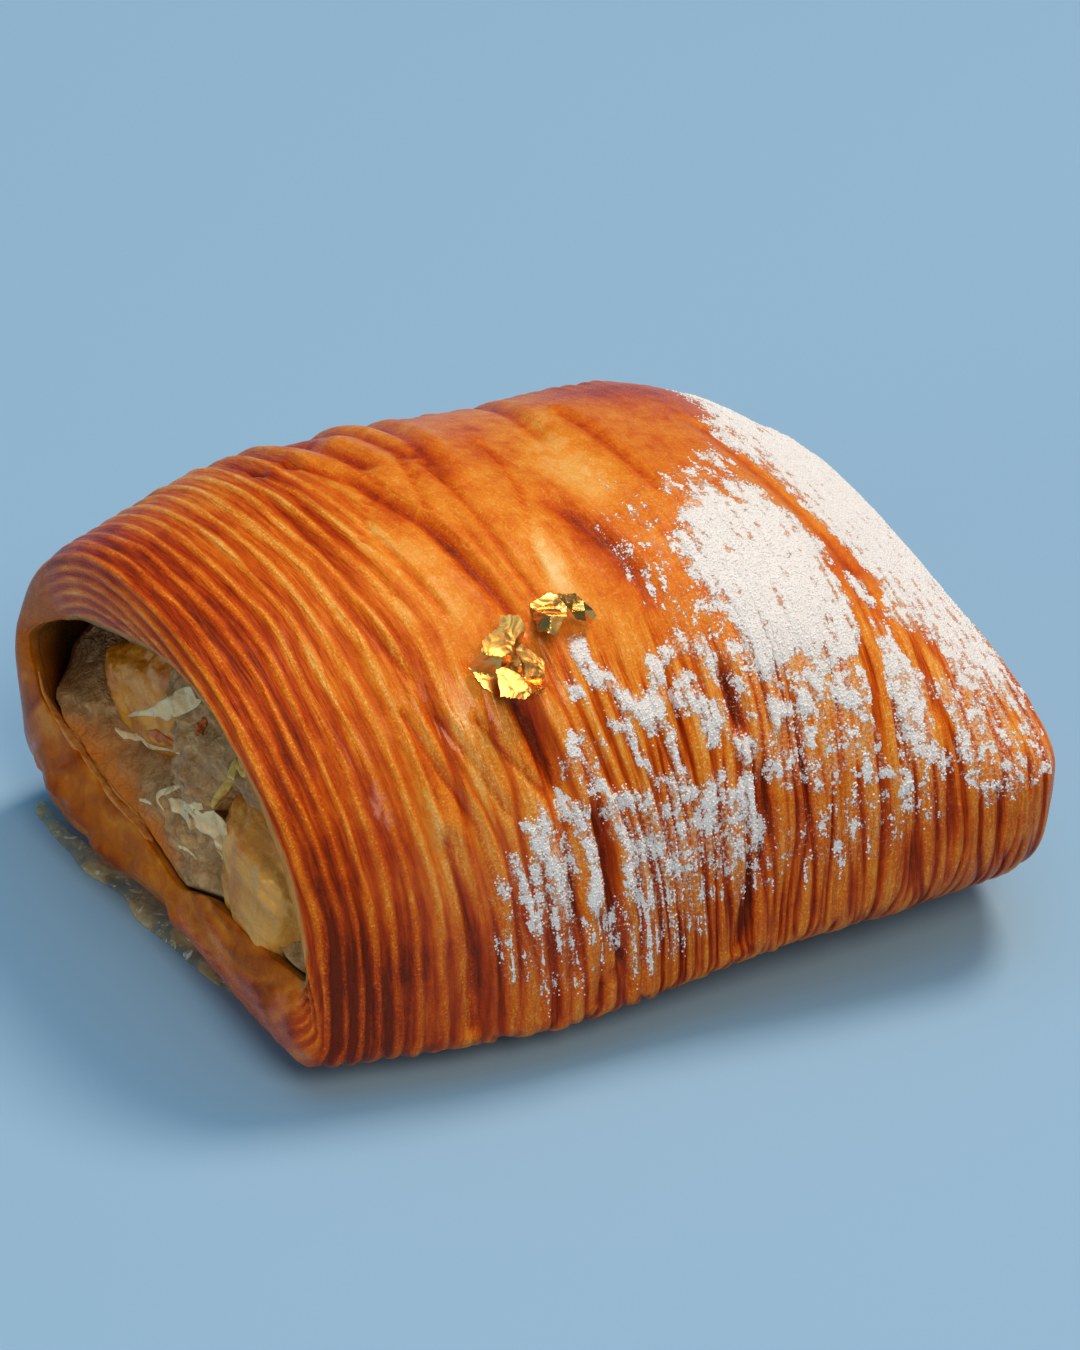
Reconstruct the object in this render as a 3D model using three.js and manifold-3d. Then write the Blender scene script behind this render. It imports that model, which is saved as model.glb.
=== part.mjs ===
// Pain suisse: a ridged, laminated pastry wrap, open at both ends, filled with cream and fruit,
// with two crumpled flakes of gold leaf, powdered sugar and a little syrup at its foot.
// Millimetres, +Z up. X runs along the roll and -X is the open end that faces the viewer's left.
// -Y is the front. The origin lies under the middle of the pastry, on the table.

import * as THREE from "three";
import { mergeVertices } from "three/addons/utils/BufferGeometryUtils.js";
import Module from "manifold-3d";

const wasm = await Module();
wasm.setup();

// Driving dimensions of the roll. Lists run from the left end to the right end in even steps.
const LENGTH = 98;
const LEFT_END = -45.6;
const HALF_FRONT = [36, 39.6, 40, 41.5, 42.5];
const HALF_BACK = [35, 40, 40.5, 41.5, 36.5];
const HEIGHT = [52, 59, 57.8, 54.2, 35];
const BELT_HEIGHT = [9.5, 10.5, 25.5];
const FULLNESS = { sideAbove: 2.26, sideBelow: 2.25, top: 2.4, bottom: 2.7 };
const LEFT_END_SKEW = -0.2;
const FLAT_SINK = 0.5;
const ARCH = { height: 3, at: 60, reach: 15, fades: 18 };
const END_ROUND = { left: 4.5, right: 5, rightTuck: 2.5 };
const LEFT_TUCK = { top: 0.15, foot: 0.9 };
const FOOT_SET_BACK = { depth: 3, fades: 14 };

// Ridges of the laminated dough
const RIDGE_PITCH = 1.96;
const RIDGE_DEPTH = 0.42;
const RIDGE_SWING = { share: 0.25, perMm: 1.7, perDegree: 0.03 };
const AROUND = 40;

// The wrap's wall and its two mouths. Each pair is an angle round the roll and an inset in mm.
const WALL = 4.6;
const MOUTH_LEFT = [
  [0, 3], [30, 2.6], [50, 6.5], [75, 8], [100, 6], [125, 2.8], [160, 1.8],
  [182, 10], [212, 13.5], [245, 12.5], [272, 8], [300, 8.5], [330, 5], [360, 3],
];
const MOUTH_RIGHT = [[0, 5], [90, 5.5], [180, 5], [225, 7], [270, 6.5], [320, 7], [360, 5]];

// A mouth's rounded lip, and the short step behind it that meets the bore
const LIP = { shares: [0.35, 0.7, 1], bulge: 1.1, roll: 0.85, step: 1.6, blend: 0.15, drop: 0.2 };

// The filling and what lies in it
const GAP = 0.45;
const FILLING = { hollow: 7, hollowReach: 26, bulgeLeft: 2.8, bulgeRight: 1.8 };
const FACE = { shares: [0.3, 0.62, 0.86], lump: 0.9, perMm: 0.33 };
const BORE_STATIONS = [6, 10, 24, 40, 56, 70, 80, 88, 92];

// Small trim
const GOLD_THICKNESS = 0.35;
const SYRUP = { from: -9, to: 31, width: 4.6, height: 2.3, under: 0.7, steps: 18 };
const SUGAR_THICKNESS = 0.45;

const clamp = (v, low, high) => Math.min(Math.max(v, low), high);
const mix = (a, b, t) => a + (b - a) * t;

function smooth(low, high, v) {
  const t = clamp((v - low) / (high - low), 0, 1);
  return t * t * (3 - 2 * t);
}

function signedPower(v, power) {
  return Math.sign(v) * Math.abs(v) ** power;
}

// A smooth curve through values that stand at even steps, for t from 0 to 1
function along(values, t) {
  const last = values.length - 1;
  const place = clamp(t, 0, 1) * last;
  const i = Math.min(Math.floor(place), last - 1);
  const f = place - i;
  const at = (k) => {
    if (k < 0) return 2 * values[0] - values[1];
    if (k > last) return 2 * values[last] - values[last - 1];
    return values[k];
  };
  const [a, b, c, d] = [at(i - 1), at(i), at(i + 1), at(i + 2)];
  return b + 0.5 * f * (c - a + f * (2 * a - 5 * b + 4 * c - d + f * (3 * (b - c) + d - a)));
}

// A smooth curve through pairs of angle and value
function aroundPairs(pairs, degrees) {
  const turn = ((degrees % 360) + 360) % 360;
  let i = 0;
  while (i < pairs.length - 2 && pairs[i + 1][0] <= turn) i += 1;
  return mix(pairs[i][1], pairs[i + 1][1], smooth(pairs[i][0], pairs[i + 1][0], turn));
}

// The smooth body. Angle 0 points to the back, 90 up, 180 to the front and 270 down.
function bodyPoint(x, degrees, inward = 0) {
  const u = x / LENGTH;
  const angle = THREE.MathUtils.degToRad(degrees);
  const c = Math.cos(angle);
  const s = Math.sin(angle);
  const above = s >= 0;
  const width = along(c > 0 ? HALF_BACK : HALF_FRONT, u);
  const belt = along(BELT_HEIGHT, u);
  const tall = above ? along(HEIGHT, u) - belt : belt;
  let y = width * signedPower(c, 2 / (above ? FULLNESS.sideAbove : FULLNESS.sideBelow));
  let z = belt + tall * signedPower(s, 2 / (above ? FULLNESS.top : FULLNESS.bottom));
  const core = coreHeight(u);
  const reach = Math.hypot(y, z - core);
  const keep = (reach - inward) / reach;
  y *= keep;
  z = core + (z - core) * keep;
  const arch = ARCH.height * Math.exp(-(((x - ARCH.at) / ARCH.reach) ** 2));
  z += arch * clamp(1 - z / ARCH.fades, 0, 1);
  return new THREE.Vector3(LEFT_END + x + LEFT_END_SKEW * (1 - u) * y, y, z);
}

function coreHeight(u) {
  return 0.46 * along(HEIGHT, u);
}

// How far each ridge drifts to the right on its way round, over the top and then down the front
const DRIFT_TOP = [0, 1, 5, 7.5, 6.5, 5, 4, 3, 2, 1, 0];
const DRIFT_FRONT = [0, 0.8, 3, 3.2, 1.6, -0.4, -1.6, -1.6, -1.2, -0.4, 0];

function ridgePlace(s, degrees) {
  const back = 1 - smooth(200, 300, degrees);
  const overTop = smooth(70, 122, degrees) * back;
  const downFront = smooth(125, 182, degrees) * back;
  return s + along(DRIFT_TOP, s / LENGTH) * overTop + along(DRIFT_FRONT, s / LENGTH) * downFront;
}

// How strongly the ridges stand at a place: full near the left mouth and low on the front and the
// back, and almost smooth on the browned panels of the top
function ridgeStrength(x, degrees) {
  const panel = smooth(18, 30, x) * smooth(48, 68, degrees) * (1 - smooth(112, 142, degrees));
  const right = 1 - 0.3 * smooth(60, 80, x);
  const under = 1 - 0.7 * smooth(215, 245, degrees) * (1 - smooth(295, 325, degrees));
  return (1 - 0.9 * panel) * right * under;
}

// Folds and creases pressed into the wrap: points are mm along the roll and degrees round it
const MM_PER_DEGREE = 0.62;
const CREASES = [
  { depth: 1.9, width: 2.4, path: [[23.5, 76], [26.5, 90], [29, 100], [32.5, 114], [34, 122]] },
  { depth: 1.9, width: 2.2, path: [[48.5, 95], [51, 103], [53, 110], [53, 122]] },
  { depth: 1.4, width: 2.2, path: [[29.5, 134], [31.5, 142], [33, 150]] },
  { depth: 1.2, width: 2.4, path: [[72, 86], [75, 100], [78, 113], [80, 127], [82, 150]] },
  { depth: 1.1, width: 1.8, path: [[19.8, 158], [20.5, 182]] },
  { depth: 1.2, width: 2.0, path: [[36, 150], [37.4, 162], [36, 178]] },
  { depth: 1.0, width: 2.0, path: [[59, 150], [57.5, 166], [54, 180]] },
  { depth: 1.3, width: 2.6, path: [[28, 20], [31, 45], [30, 66]] },
  { depth: 1.1, width: 2.4, path: [[44, -10], [47, 20], [46, 48]] },
  { depth: 1.0, width: 2.2, path: [[66, 0], [64, 26], [66, 52]] },
];
const SWELLS = [
  { depth: -1.1, width: 6, path: [[39, 84], [41, 104]] },
  { depth: -0.9, width: 5, path: [[58, 78], [60, 104]] },
  { depth: -0.8, width: 4, path: [[17, 60], [19, 84]] },
];

function pathDistance(x, degrees, path) {
  let nearest = Infinity;
  for (let i = 0; i + 1 < path.length; i += 1) {
    const ax = path[i][0];
    const ay = path[i][1] * MM_PER_DEGREE;
    const bx = path[i + 1][0] - ax;
    const by = path[i + 1][1] * MM_PER_DEGREE - ay;
    const px = x - ax;
    const py = degrees * MM_PER_DEGREE - ay;
    const t = clamp((px * bx + py * by) / (bx * bx + by * by), 0, 1);
    nearest = Math.min(nearest, Math.hypot(px - bx * t, py - by * t));
  }
  return nearest;
}

function creaseDepth(x, degrees) {
  const turned = degrees > 300 ? degrees - 360 : degrees;
  let depth = 0;
  for (const fold of [...CREASES, ...SWELLS]) {
    const d = pathDistance(x, turned, fold.path) / fold.width;
    depth += fold.depth * Math.exp(-d * d);
  }
  return depth;
}

// Thick powdered sugar: centre in mm along and degrees round, then half sizes in the same units
const SUGAR_PATCHES = [
  [66, 112, 9, 17], [86, 92, 11, 30], [89, 122, 8, 16], [45, 136, 6, 5], [54, 148, 3, 10],
  [38, 150, 4, 6], [31, 160, 3, 8], [78, 140, 8, 8],
];

function sugarHeight(x, degrees) {
  let cover = 0;
  for (const [cx, cd, rx, rd] of SUGAR_PATCHES) {
    cover = Math.max(cover, 1 - ((x - cx) / rx) ** 2 - ((degrees - cd) / rd) ** 2);
  }
  return SUGAR_THICKNESS * smooth(0, 0.5, cover);
}

// At its foot, behind the front flap, the left mouth stands further back than the rest of its edge
function footSetBack(s, degrees) {
  const foot = smooth(250, 268, degrees) * (1 - smooth(300, 335, degrees));
  return FOOT_SET_BACK.depth * foot * clamp(1 - s / FOOT_SET_BACK.fades, 0, 1);
}

// The outer skin with its relief. The row number says whether it is a crest or a valley.
function skinPoint(s, degrees, crest) {
  const x = ridgePlace(s, degrees) + footSetBack(s, degrees);
  const fromLeft = clamp(s / END_ROUND.left, 0, 1);
  const fromRight = clamp((LENGTH - s) / END_ROUND.right, 0, 1);
  const tuck = END_ROUND.left * leftTuck(degrees) * roundedEnd(fromLeft)
    + END_ROUND.rightTuck * roundedEnd(fromRight);
  const wave = Math.sin(s * RIDGE_SWING.perMm + degrees * RIDGE_SWING.perDegree);
  const swing = 1 - RIDGE_SWING.share * (1 - wave);
  const ridge = RIDGE_DEPTH * swing * ridgeStrength(x, degrees) * (crest ? 1 : -1);
  const out = ridge + sugarHeight(x, degrees) - creaseDepth(x, degrees);
  return settle(bodyPoint(x, degrees, tuck - out));
}

// A quarter circle, from 1 at the very end to 0 where the rounding stops
function roundedEnd(fromEnd) {
  return 1 - Math.sqrt(1 - (1 - fromEnd) ** 2);
}

// Near the left mouth the wrap turns under at its foot and hardly at its top
function leftTuck(degrees) {
  const foot = smooth(225, 262, degrees) * (1 - smooth(335, 365, degrees));
  return mix(LEFT_TUCK.top, LEFT_TUCK.foot, foot);
}

function settle(point) {
  point.z = Math.max(point.z - FLAT_SINK, 0);
  return point;
}

// Meshes from rings of points

function meshOfRings(rings, closedLoop) {
  const count = rings[0].length;
  const positions = rings.flat().flatMap((p) => [p.x, p.y, p.z]);
  const index = [];
  const pairs = closedLoop ? rings.length : rings.length - 1;
  for (let r = 0; r < pairs; r += 1) {
    const a = r * count;
    const b = ((r + 1) % rings.length) * count;
    for (let k = 0; k < count; k += 1) {
      const next = (k + 1) % count;
      index.push(a + k, b + k, b + next, a + k, b + next, a + next);
    }
  }
  if (!closedLoop) {
    addCap(positions, index, rings[0], 0, true);
    addCap(positions, index, rings[rings.length - 1], (rings.length - 1) * count, false);
  }
  return closedGeometry(positions, index);
}

function middleOf(ring) {
  return ring.reduce((sum, p) => sum.add(p), new THREE.Vector3()).divideScalar(ring.length);
}

function addCap(positions, index, ring, start, first) {
  const middle = middleOf(ring);
  const pole = positions.length / 3;
  positions.push(middle.x, middle.y, middle.z);
  for (let k = 0; k < ring.length; k += 1) {
    const next = (k + 1) % ring.length;
    if (first) index.push(pole, start + k, start + next);
    else index.push(pole, start + next, start + k);
  }
}

function closedGeometry(positions, index) {
  const rough = new THREE.BufferGeometry();
  rough.setAttribute("position", new THREE.Float32BufferAttribute(positions, 3));
  rough.setIndex(index);
  const merged = mergeVertices(rough, 1e-4);
  const kept = [];
  const corners = merged.getIndex().array;
  for (let t = 0; t < corners.length; t += 3) {
    const [a, b, c] = corners.slice(t, t + 3);
    if (a !== b && b !== c && c !== a) kept.push(a, b, c);
  }
  if (signedVolume(merged.getAttribute("position"), kept) < 0) {
    for (let t = 0; t < kept.length; t += 3) [kept[t], kept[t + 1]] = [kept[t + 1], kept[t]];
  }
  merged.setIndex(kept);
  return merged;
}

function signedVolume(position, corners) {
  const [a, b, c] = [new THREE.Vector3(), new THREE.Vector3(), new THREE.Vector3()];
  let volume = 0;
  for (let t = 0; t < corners.length; t += 3) {
    a.fromBufferAttribute(position, corners[t]);
    b.fromBufferAttribute(position, corners[t + 1]);
    c.fromBufferAttribute(position, corners[t + 2]);
    volume += a.dot(b.cross(c)) / 6;
  }
  return volume;
}

// Booleans

function toSolid(geometry) {
  return new wasm.Manifold(new wasm.Mesh({
    numProp: 3,
    vertProperties: new Float32Array(geometry.getAttribute("position").array),
    triVerts: new Uint32Array(geometry.getIndex().array),
  }));
}

function fromSolid(solid) {
  const mesh = solid.getMesh();
  const geometry = new THREE.BufferGeometry();
  geometry.setAttribute("position", new THREE.BufferAttribute(mesh.vertProperties, 3));
  geometry.setIndex(new THREE.BufferAttribute(mesh.triVerts, 1));
  return geometry;
}

// The wrap

const ANGLES = Array.from({ length: AROUND }, (_, k) => (360 * k) / AROUND);

function crustGeometry() {
  const rings = [];
  const rows = 2 * Math.round(LENGTH / RIDGE_PITCH);
  for (let row = 0; row <= rows; row += 1) {
    const s = (LENGTH * row) / rows;
    rings.push(ANGLES.map((degrees) => skinPoint(s, degrees, row % 2 === 1)));
  }
  rings.push(...mouthRings(rings[rows], LENGTH, MOUTH_RIGHT, 1));
  const inside = [...BORE_STATIONS].reverse();
  for (const x of inside) rings.push(ANGLES.map((degrees) => borePoint(x, degrees)));
  rings.push(...mouthRings(rings[0], 0, MOUTH_LEFT, -1).reverse());
  return meshOfRings(rings, true);
}

// The rounded lip from the outer edge to the inner edge of a mouth, then a short step inside
function mouthRings(edge, x, insets, outward) {
  const rings = LIP.shares.map((share) => ANGLES.map((degrees, k) => {
    const inner = bodyPoint(x + footSetBack(x, degrees), degrees, aroundPairs(insets, degrees));
    const point = edge[k].clone().lerp(inner, share);
    point.x += outward * LIP.bulge * Math.sin(Math.PI * share * LIP.roll);
    return point;
  }));
  rings.push(ANGLES.map((degrees) => {
    const inset = aroundPairs(insets, degrees);
    const inside = x - outward * LIP.step + footSetBack(x, degrees) * (1 - LIP.drop);
    return bodyPoint(inside, degrees, mix(inset, WALL, LIP.blend) + LIP.drop);
  }));
  return rings;
}

function borePoint(x, degrees, gap = 0) {
  const left = aroundPairs(MOUTH_LEFT, degrees);
  const right = aroundPairs(MOUTH_RIGHT, degrees);
  const last = BORE_STATIONS[BORE_STATIONS.length - 1];
  const fromLeft = mix(left, WALL, smooth(0, BORE_STATIONS[0], x));
  const wall = mix(fromLeft, right, smooth(last, LENGTH, x));
  return bodyPoint(x, degrees, wall + gap);
}

// The filling runs right through the wrap. A hollow is left over it inside the left mouth.
function fillingPoint(x, degrees) {
  const top = smooth(25, 60, degrees) * (1 - smooth(105, 140, degrees));
  const hollow = FILLING.hollow * top * (1 - smooth(BORE_STATIONS[0], FILLING.hollowReach, x));
  return borePoint(x, degrees, GAP + hollow);
}

function fillingGeometry() {
  const left = BORE_STATIONS[0];
  const right = BORE_STATIONS[BORE_STATIONS.length - 1];
  const rings = [];
  const inside = [...BORE_STATIONS].reverse();
  for (const share of FACE.shares) rings.push(faceRing(right, share, 1));
  for (const x of inside) rings.push(ANGLES.map((degrees) => fillingPoint(x, degrees)));
  for (const share of [...FACE.shares].reverse()) rings.push(faceRing(left, share, -1));
  return meshOfRings(rings, false);
}

// One ring of an end face, a share of the way from the middle to the edge, uneven as spooned cream
function faceRing(x, share, outward) {
  const rim = ANGLES.map((degrees) => fillingPoint(x, degrees));
  const middle = middleOf(rim);
  const bulge = outward < 0 ? FILLING.bulgeLeft : FILLING.bulgeRight;
  return rim.map((p) => {
    const point = middle.clone().lerp(p, share);
    const lump = Math.sin(FACE.perMm * point.y + 1) * Math.cos(FACE.perMm * point.z);
    point.x += outward * (bulge + FACE.lump * lump) * (1 - share * share);
    return point;
  });
}

// A lump of fruit: an icosahedron pulled to its three half sizes and made uneven
function fruitGeometry(half, place, tilt, flatness, seed) {
  const ball = new THREE.IcosahedronGeometry(1, 2);
  ball.deleteAttribute("normal");
  ball.deleteAttribute("uv");
  const geometry = mergeVertices(ball, 1e-4);
  const position = geometry.getAttribute("position");
  const point = new THREE.Vector3();
  for (let i = 0; i < position.count; i += 1) {
    point.fromBufferAttribute(position, i);
    const knobs = 0.05 * Math.sin(5 * point.x + seed) + 0.05 * Math.sin(4 * point.y + 2 * seed)
      + 0.05 * Math.cos(5 * point.z - seed);
    point.set(
      signedPower(point.x, flatness) * half[0],
      signedPower(point.y, flatness) * half[1],
      signedPower(point.z, flatness) * half[2],
    ).multiplyScalar(1 + knobs);
    position.setXYZ(i, point.x, point.y, point.z);
  }
  geometry.rotateX(tilt[0]).rotateY(tilt[1]).rotateZ(tilt[2]);
  geometry.translate(place[0], place[1], place[2]);
  return geometry;
}

const FRUIT = [
  { name: "pear_slice_left", color: 0xd9b36a, half: [4.6, 8.8, 9.4], place: [-36.4, -18.6, 20.4],
    tilt: [0.15, 0, 0.18], flatness: 0.65, seed: 1 },
  { name: "pear_chunk_left", color: 0xc98f3f, half: [5, 11.4, 6.8], place: [-40.4, 12.5, 28.4],
    tilt: [-0.46, 0, 0.18], flatness: 0.65, seed: 2 },
  { name: "pear_slice_right", color: 0xd9b36a, half: [5, 9, 5.2], place: [46.4, 11, 15.5],
    tilt: [0.2, 0, 0.1], flatness: 0.75, seed: 3 },
  { name: "pear_chunk_right", color: 0xc98f3f, half: [4.5, 7, 4.6], place: [47.2, -12, 17],
    tilt: [-0.2, 0, 0], flatness: 0.8, seed: 4 },
];

function fruitPiece(fruit, grow = 0) {
  const half = fruit.half.map((size) => size + grow);
  return fruitGeometry(half, fruit.place, fruit.tilt, fruit.flatness, fruit.seed);
}

// The filling with a pocket cut for each fruit, a little larger than the fruit
function creamGeometry() {
  let cream = toSolid(fillingGeometry());
  for (const fruit of FRUIT) cream = cream.subtract(toSolid(fruitPiece(fruit, GAP)));
  return fromSolid(cream);
}

// A crumpled flake of gold leaf that lies on the wrap, both faces split alike
function goldGeometry(flake) {
  const steps = { along: 6, round: 6 };
  const top = [];
  const bottom = [];
  for (let i = 0; i <= steps.along; i += 1) {
    for (let j = 0; j <= steps.round; j += 1) {
      const a = i / steps.along;
      const b = j / steps.round;
      const rag = 0.12 * Math.sin(9 * a + 5 * b + flake.seed) * Math.sin(7 * b + flake.seed);
      const x = flake.at[0] + flake.size[0] * (a - 0.5 + rag * (b - 0.5));
      const across = (b - 0.5) * (0.7 + 0.3 * Math.sin(Math.PI * a)) + rag * (a - 0.5);
      const degrees = flake.at[1] + (flake.size[1] / MM_PER_DEGREE) * across;
      const crumple = 0.45 * Math.sin(13 * a + 4 * b + flake.seed)
        + 0.4 * Math.sin(11 * b - 5 * a + 2 * flake.seed) + 0.85;
      bottom.push(settle(bodyPoint(x, degrees, -flake.lift - crumple)));
      top.push(settle(bodyPoint(x, degrees, -flake.lift - crumple - GOLD_THICKNESS)));
    }
  }
  return sheetGeometry(top, bottom, steps.along, steps.round);
}

function sheetGeometry(top, bottom, columns, rows) {
  const positions = [...top, ...bottom].flatMap((p) => [p.x, p.y, p.z]);
  const at = (i, j, face) => face * top.length + i * (rows + 1) + j;
  const index = [];
  for (let i = 0; i < columns; i += 1) {
    for (let j = 0; j < rows; j += 1) {
      index.push(at(i, j, 0), at(i + 1, j, 0), at(i + 1, j + 1, 0));
      index.push(at(i, j, 0), at(i + 1, j + 1, 0), at(i, j + 1, 0));
      index.push(at(i, j, 1), at(i + 1, j + 1, 1), at(i + 1, j, 1));
      index.push(at(i, j, 1), at(i, j + 1, 1), at(i + 1, j + 1, 1));
    }
  }
  const side = (i, j, k, l) => {
    index.push(at(i, j, 0), at(i, j, 1), at(k, l, 1));
    index.push(at(i, j, 0), at(k, l, 1), at(k, l, 0));
  };
  for (let i = 0; i < columns; i += 1) {
    side(i, 0, i + 1, 0);
    side(i + 1, rows, i, rows);
  }
  for (let j = 0; j < rows; j += 1) {
    side(columns, j, columns, j + 1);
    side(0, j + 1, 0, j);
  }
  return closedGeometry(positions, index);
}

const GOLD = [
  { name: "gold_leaf_large", at: [29.8, 130.5], size: [9.5, 9], lift: 1.1, seed: 0.4 },
  { name: "gold_leaf_small", at: [38.8, 123.8], size: [8, 5], lift: 1.3, seed: 2.3 },
];

// Where the foot of the left mouth stands at a distance y from the middle
function footEdge(y) {
  const c = signedPower(clamp(y / HALF_BACK[0], -1, 1), FULLNESS.sideBelow / 2);
  const degrees = 360 - THREE.MathUtils.radToDeg(Math.acos(c));
  return LEFT_END + footSetBack(0, degrees) + LEFT_END_SKEW * y;
}

// Clear syrup that has run out under the left mouth: a low bead on the table, under the lip.
// Each pair is a share of the half width, from the bead's middle, and a share of its height.
const BEAD_PROFILE = [[-1, 0], [-0.8, 0.45], [-0.3, 0.9], [0.25, 1], [0.7, 0.55], [0.85, 0]];

function syrupGeometry() {
  const rings = [];
  for (let i = 0; i <= SYRUP.steps; i += 1) {
    const t = i / SYRUP.steps;
    const y = mix(SYRUP.from, SYRUP.to, t);
    const swell = Math.sqrt(Math.sin(Math.PI * clamp(t, 0.02, 0.98)));
    const half = 0.5 * SYRUP.width * swell * (0.85 + 0.15 * Math.sin(i * 1.3));
    const height = SYRUP.height * swell * (0.8 + 0.2 * Math.sin(i * 0.9 + 1));
    const middle = footEdge(y) + SYRUP.under - half;
    rings.push(BEAD_PROFILE.map(([side, up]) => (
      new THREE.Vector3(middle + side * half, y, up * height)
    )));
  }
  return meshOfRings(rings, false);
}

// The group

function addPiece(group, name, geometry, color, roughness, metalness = 0) {
  const shaded = geometry.clone();
  shaded.computeVertexNormals();
  const material = new THREE.MeshStandardMaterial({ color, roughness, metalness });
  const mesh = new THREE.Mesh(shaded, material);
  mesh.name = name;
  group.add(mesh);
}

function painSuisse() {
  const group = new THREE.Group();
  addPiece(group, "crust", crustGeometry(), 0xc9722a, 0.45);
  addPiece(group, "cream", creamGeometry(), 0xcbbfa0, 0.35);
  for (const fruit of FRUIT) addPiece(group, fruit.name, fruitPiece(fruit), fruit.color, 0.3);
  for (const flake of GOLD) addPiece(group, flake.name, goldGeometry(flake), 0xe0b040, 0.25, 1);
  addPiece(group, "syrup", syrupGeometry(), 0xdfe6dc, 0.1);
  return group;
}

export default painSuisse();
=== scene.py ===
# Pain suisse: a ridged, laminated pastry wrap with a cream and pear filling, gold leaf,
# powdered sugar and a little clear syrup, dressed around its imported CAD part.

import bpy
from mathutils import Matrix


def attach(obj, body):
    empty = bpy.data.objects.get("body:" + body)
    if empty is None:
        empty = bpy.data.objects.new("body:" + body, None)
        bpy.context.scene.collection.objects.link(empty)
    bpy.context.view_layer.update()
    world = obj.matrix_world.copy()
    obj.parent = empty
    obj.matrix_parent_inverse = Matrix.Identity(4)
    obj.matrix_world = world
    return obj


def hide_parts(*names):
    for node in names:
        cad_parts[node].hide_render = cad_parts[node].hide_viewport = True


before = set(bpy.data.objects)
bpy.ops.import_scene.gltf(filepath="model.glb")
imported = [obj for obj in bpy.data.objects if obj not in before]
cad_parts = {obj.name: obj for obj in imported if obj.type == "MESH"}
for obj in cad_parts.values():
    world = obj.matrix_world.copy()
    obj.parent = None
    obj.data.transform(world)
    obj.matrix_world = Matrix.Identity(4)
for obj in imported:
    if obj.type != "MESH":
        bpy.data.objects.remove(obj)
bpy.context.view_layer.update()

from types import SimpleNamespace

import bmesh
import bpy
import numpy as np
from mathutils import Vector
from mathutils.bvhtree import BVHTree

MM = 0.001

# The camera, in metres. The lens and the sensor, which fits the picture's height, are in mm.
CAMERA_AT = (-0.15980, -0.38849, 0.32665)
CAMERA_AIM = (0.00564, 0.00440, 0.02303)
LENS = 113.79
SENSOR = 36

# Lights: a name, a place and a size in metres, watts and a tint
LIGHTS = [
    ("key", (0.83, 0.20, 1.86), 0.6, 26.5, (1.0, 0.75, 0.57)),
    ("front", (0.05, -1.20, 1.40), 0.8, 14.5, (1.0, 0.76, 0.55)),
    ("left", (-1.50, -0.50, 0.40), 0.7, 5.0, (1.0, 0.86, 0.66)),
    ("overhead", (0.0, 0.0, 2.4), 2.2, 16.0, (0.32, 0.80, 1.0)),
]
LIGHTS_AIM = (0, 0, 0.02)
SKY = {"colour": (0.24, 0.56, 0.85, 1), "strength": 0.22}

# Half the floor's side, in millimetres
FLOOR_HALF = 3000

# The roll, in millimetres. Lists run from the left end to the right end in even steps. The belt
# is the height at which the roll is widest. Insets run towards its core.
LENGTH = 98
LEFT_END = -45.6
HALF_FRONT = [36, 39.6, 40, 41.5, 42.5]
HALF_BACK = [35, 40, 40.5, 41.5, 36.5]
HEIGHT = [52, 59, 57.8, 54.2, 35]
BELT_HEIGHT = [9.5, 10.5, 25.5]
SIDE_POWER = {"above": 2 / 2.26, "below": 2 / 2.25}
TOP_POWER = 2 / 2.4
BOTTOM_POWER = 2 / 2.7
CORE_SHARE = 0.46
CORE_HEIGHT = CORE_SHARE * HEIGHT[0]
LEFT_END_SKEW = -0.2
FLAT_SINK = 0.5
MM_PER_DEGREE = 0.62

# The underside's arch, and the rounding of the two ends
ARCH = {"height": 3, "at": 60, "reach": 15, "fades": 18}
END_ROUND = {"left": 4.5, "right": 5, "right_tuck": 2.5}
LEFT_TUCK = {"top": 0.15, "foot": 0.9}

# How far the left mouth's outer edge stands behind the mouth's plane at each angle, and how far
# along the roll that fades
SET_BACK_FADES = 14
SET_BACK = [
    (0, 0.9), (20, 0), (130, 0), (150, 1.0), (162, 1.7), (172, 1.2), (188, 0), (205, 0),
    (230, 1.6), (250, 2), (268, 3), (283, 3), (302, 1.2), (318, 0.5), (340, 0.9), (360, 0.9),
]

# Parts of the wrap in degrees round the roll. Each comes in from its first angle to its second
# and goes out from its third to its fourth. The left lip's parts count on past 360.
STRETCH = {
    "smooth_top": (48, 68, 118, 140), "strands": (118, 138, 205, 235),
    "low_front": (152, 176, 230, 260), "underside": (215, 245, 295, 325),
    "tucked_foot": (225, 262, 335, 365), "hollow": (25, 60, 105, 140),
    "dark_edge": (8, 24, 62, 90), "wet_edge": (262, 282, 345, 360),
    "flap": (180, 190, 256, 266), "seep": (256, 266, 278, 288),
    "wet_lip": (278, 288, 366, 378), "rim": (366, 378, 400, 420),
}

# Where along the roll, in mm, the smooth top and the strands come in
COMES_IN = {"smooth_top": (19, 29), "strands": (13, 21)}

# Mesh of the wrap: rows for each ridge, and steps round the roll and down the bore as a start, an
# end and a count, closest together where the camera sees them
ROWS_PER_RIDGE = 10
STEPS_ROUND = [(50, 208, 108), (208, 350, 32), (350, 410, 24)]
STEPS_IN_BORE = [(LENGTH - 0.8, 84, 9), (76, 34, 6), (28, 0.8, 20)]

# Mesh of the filling: steps round it, stations along it, and rings on each face, from its rim to
# its middle as shares of the way out
FILLING_MESH = {"round": 180, "stations": 25, "rings": 60, "rim": 0.98, "middle": 0.02}

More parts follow.
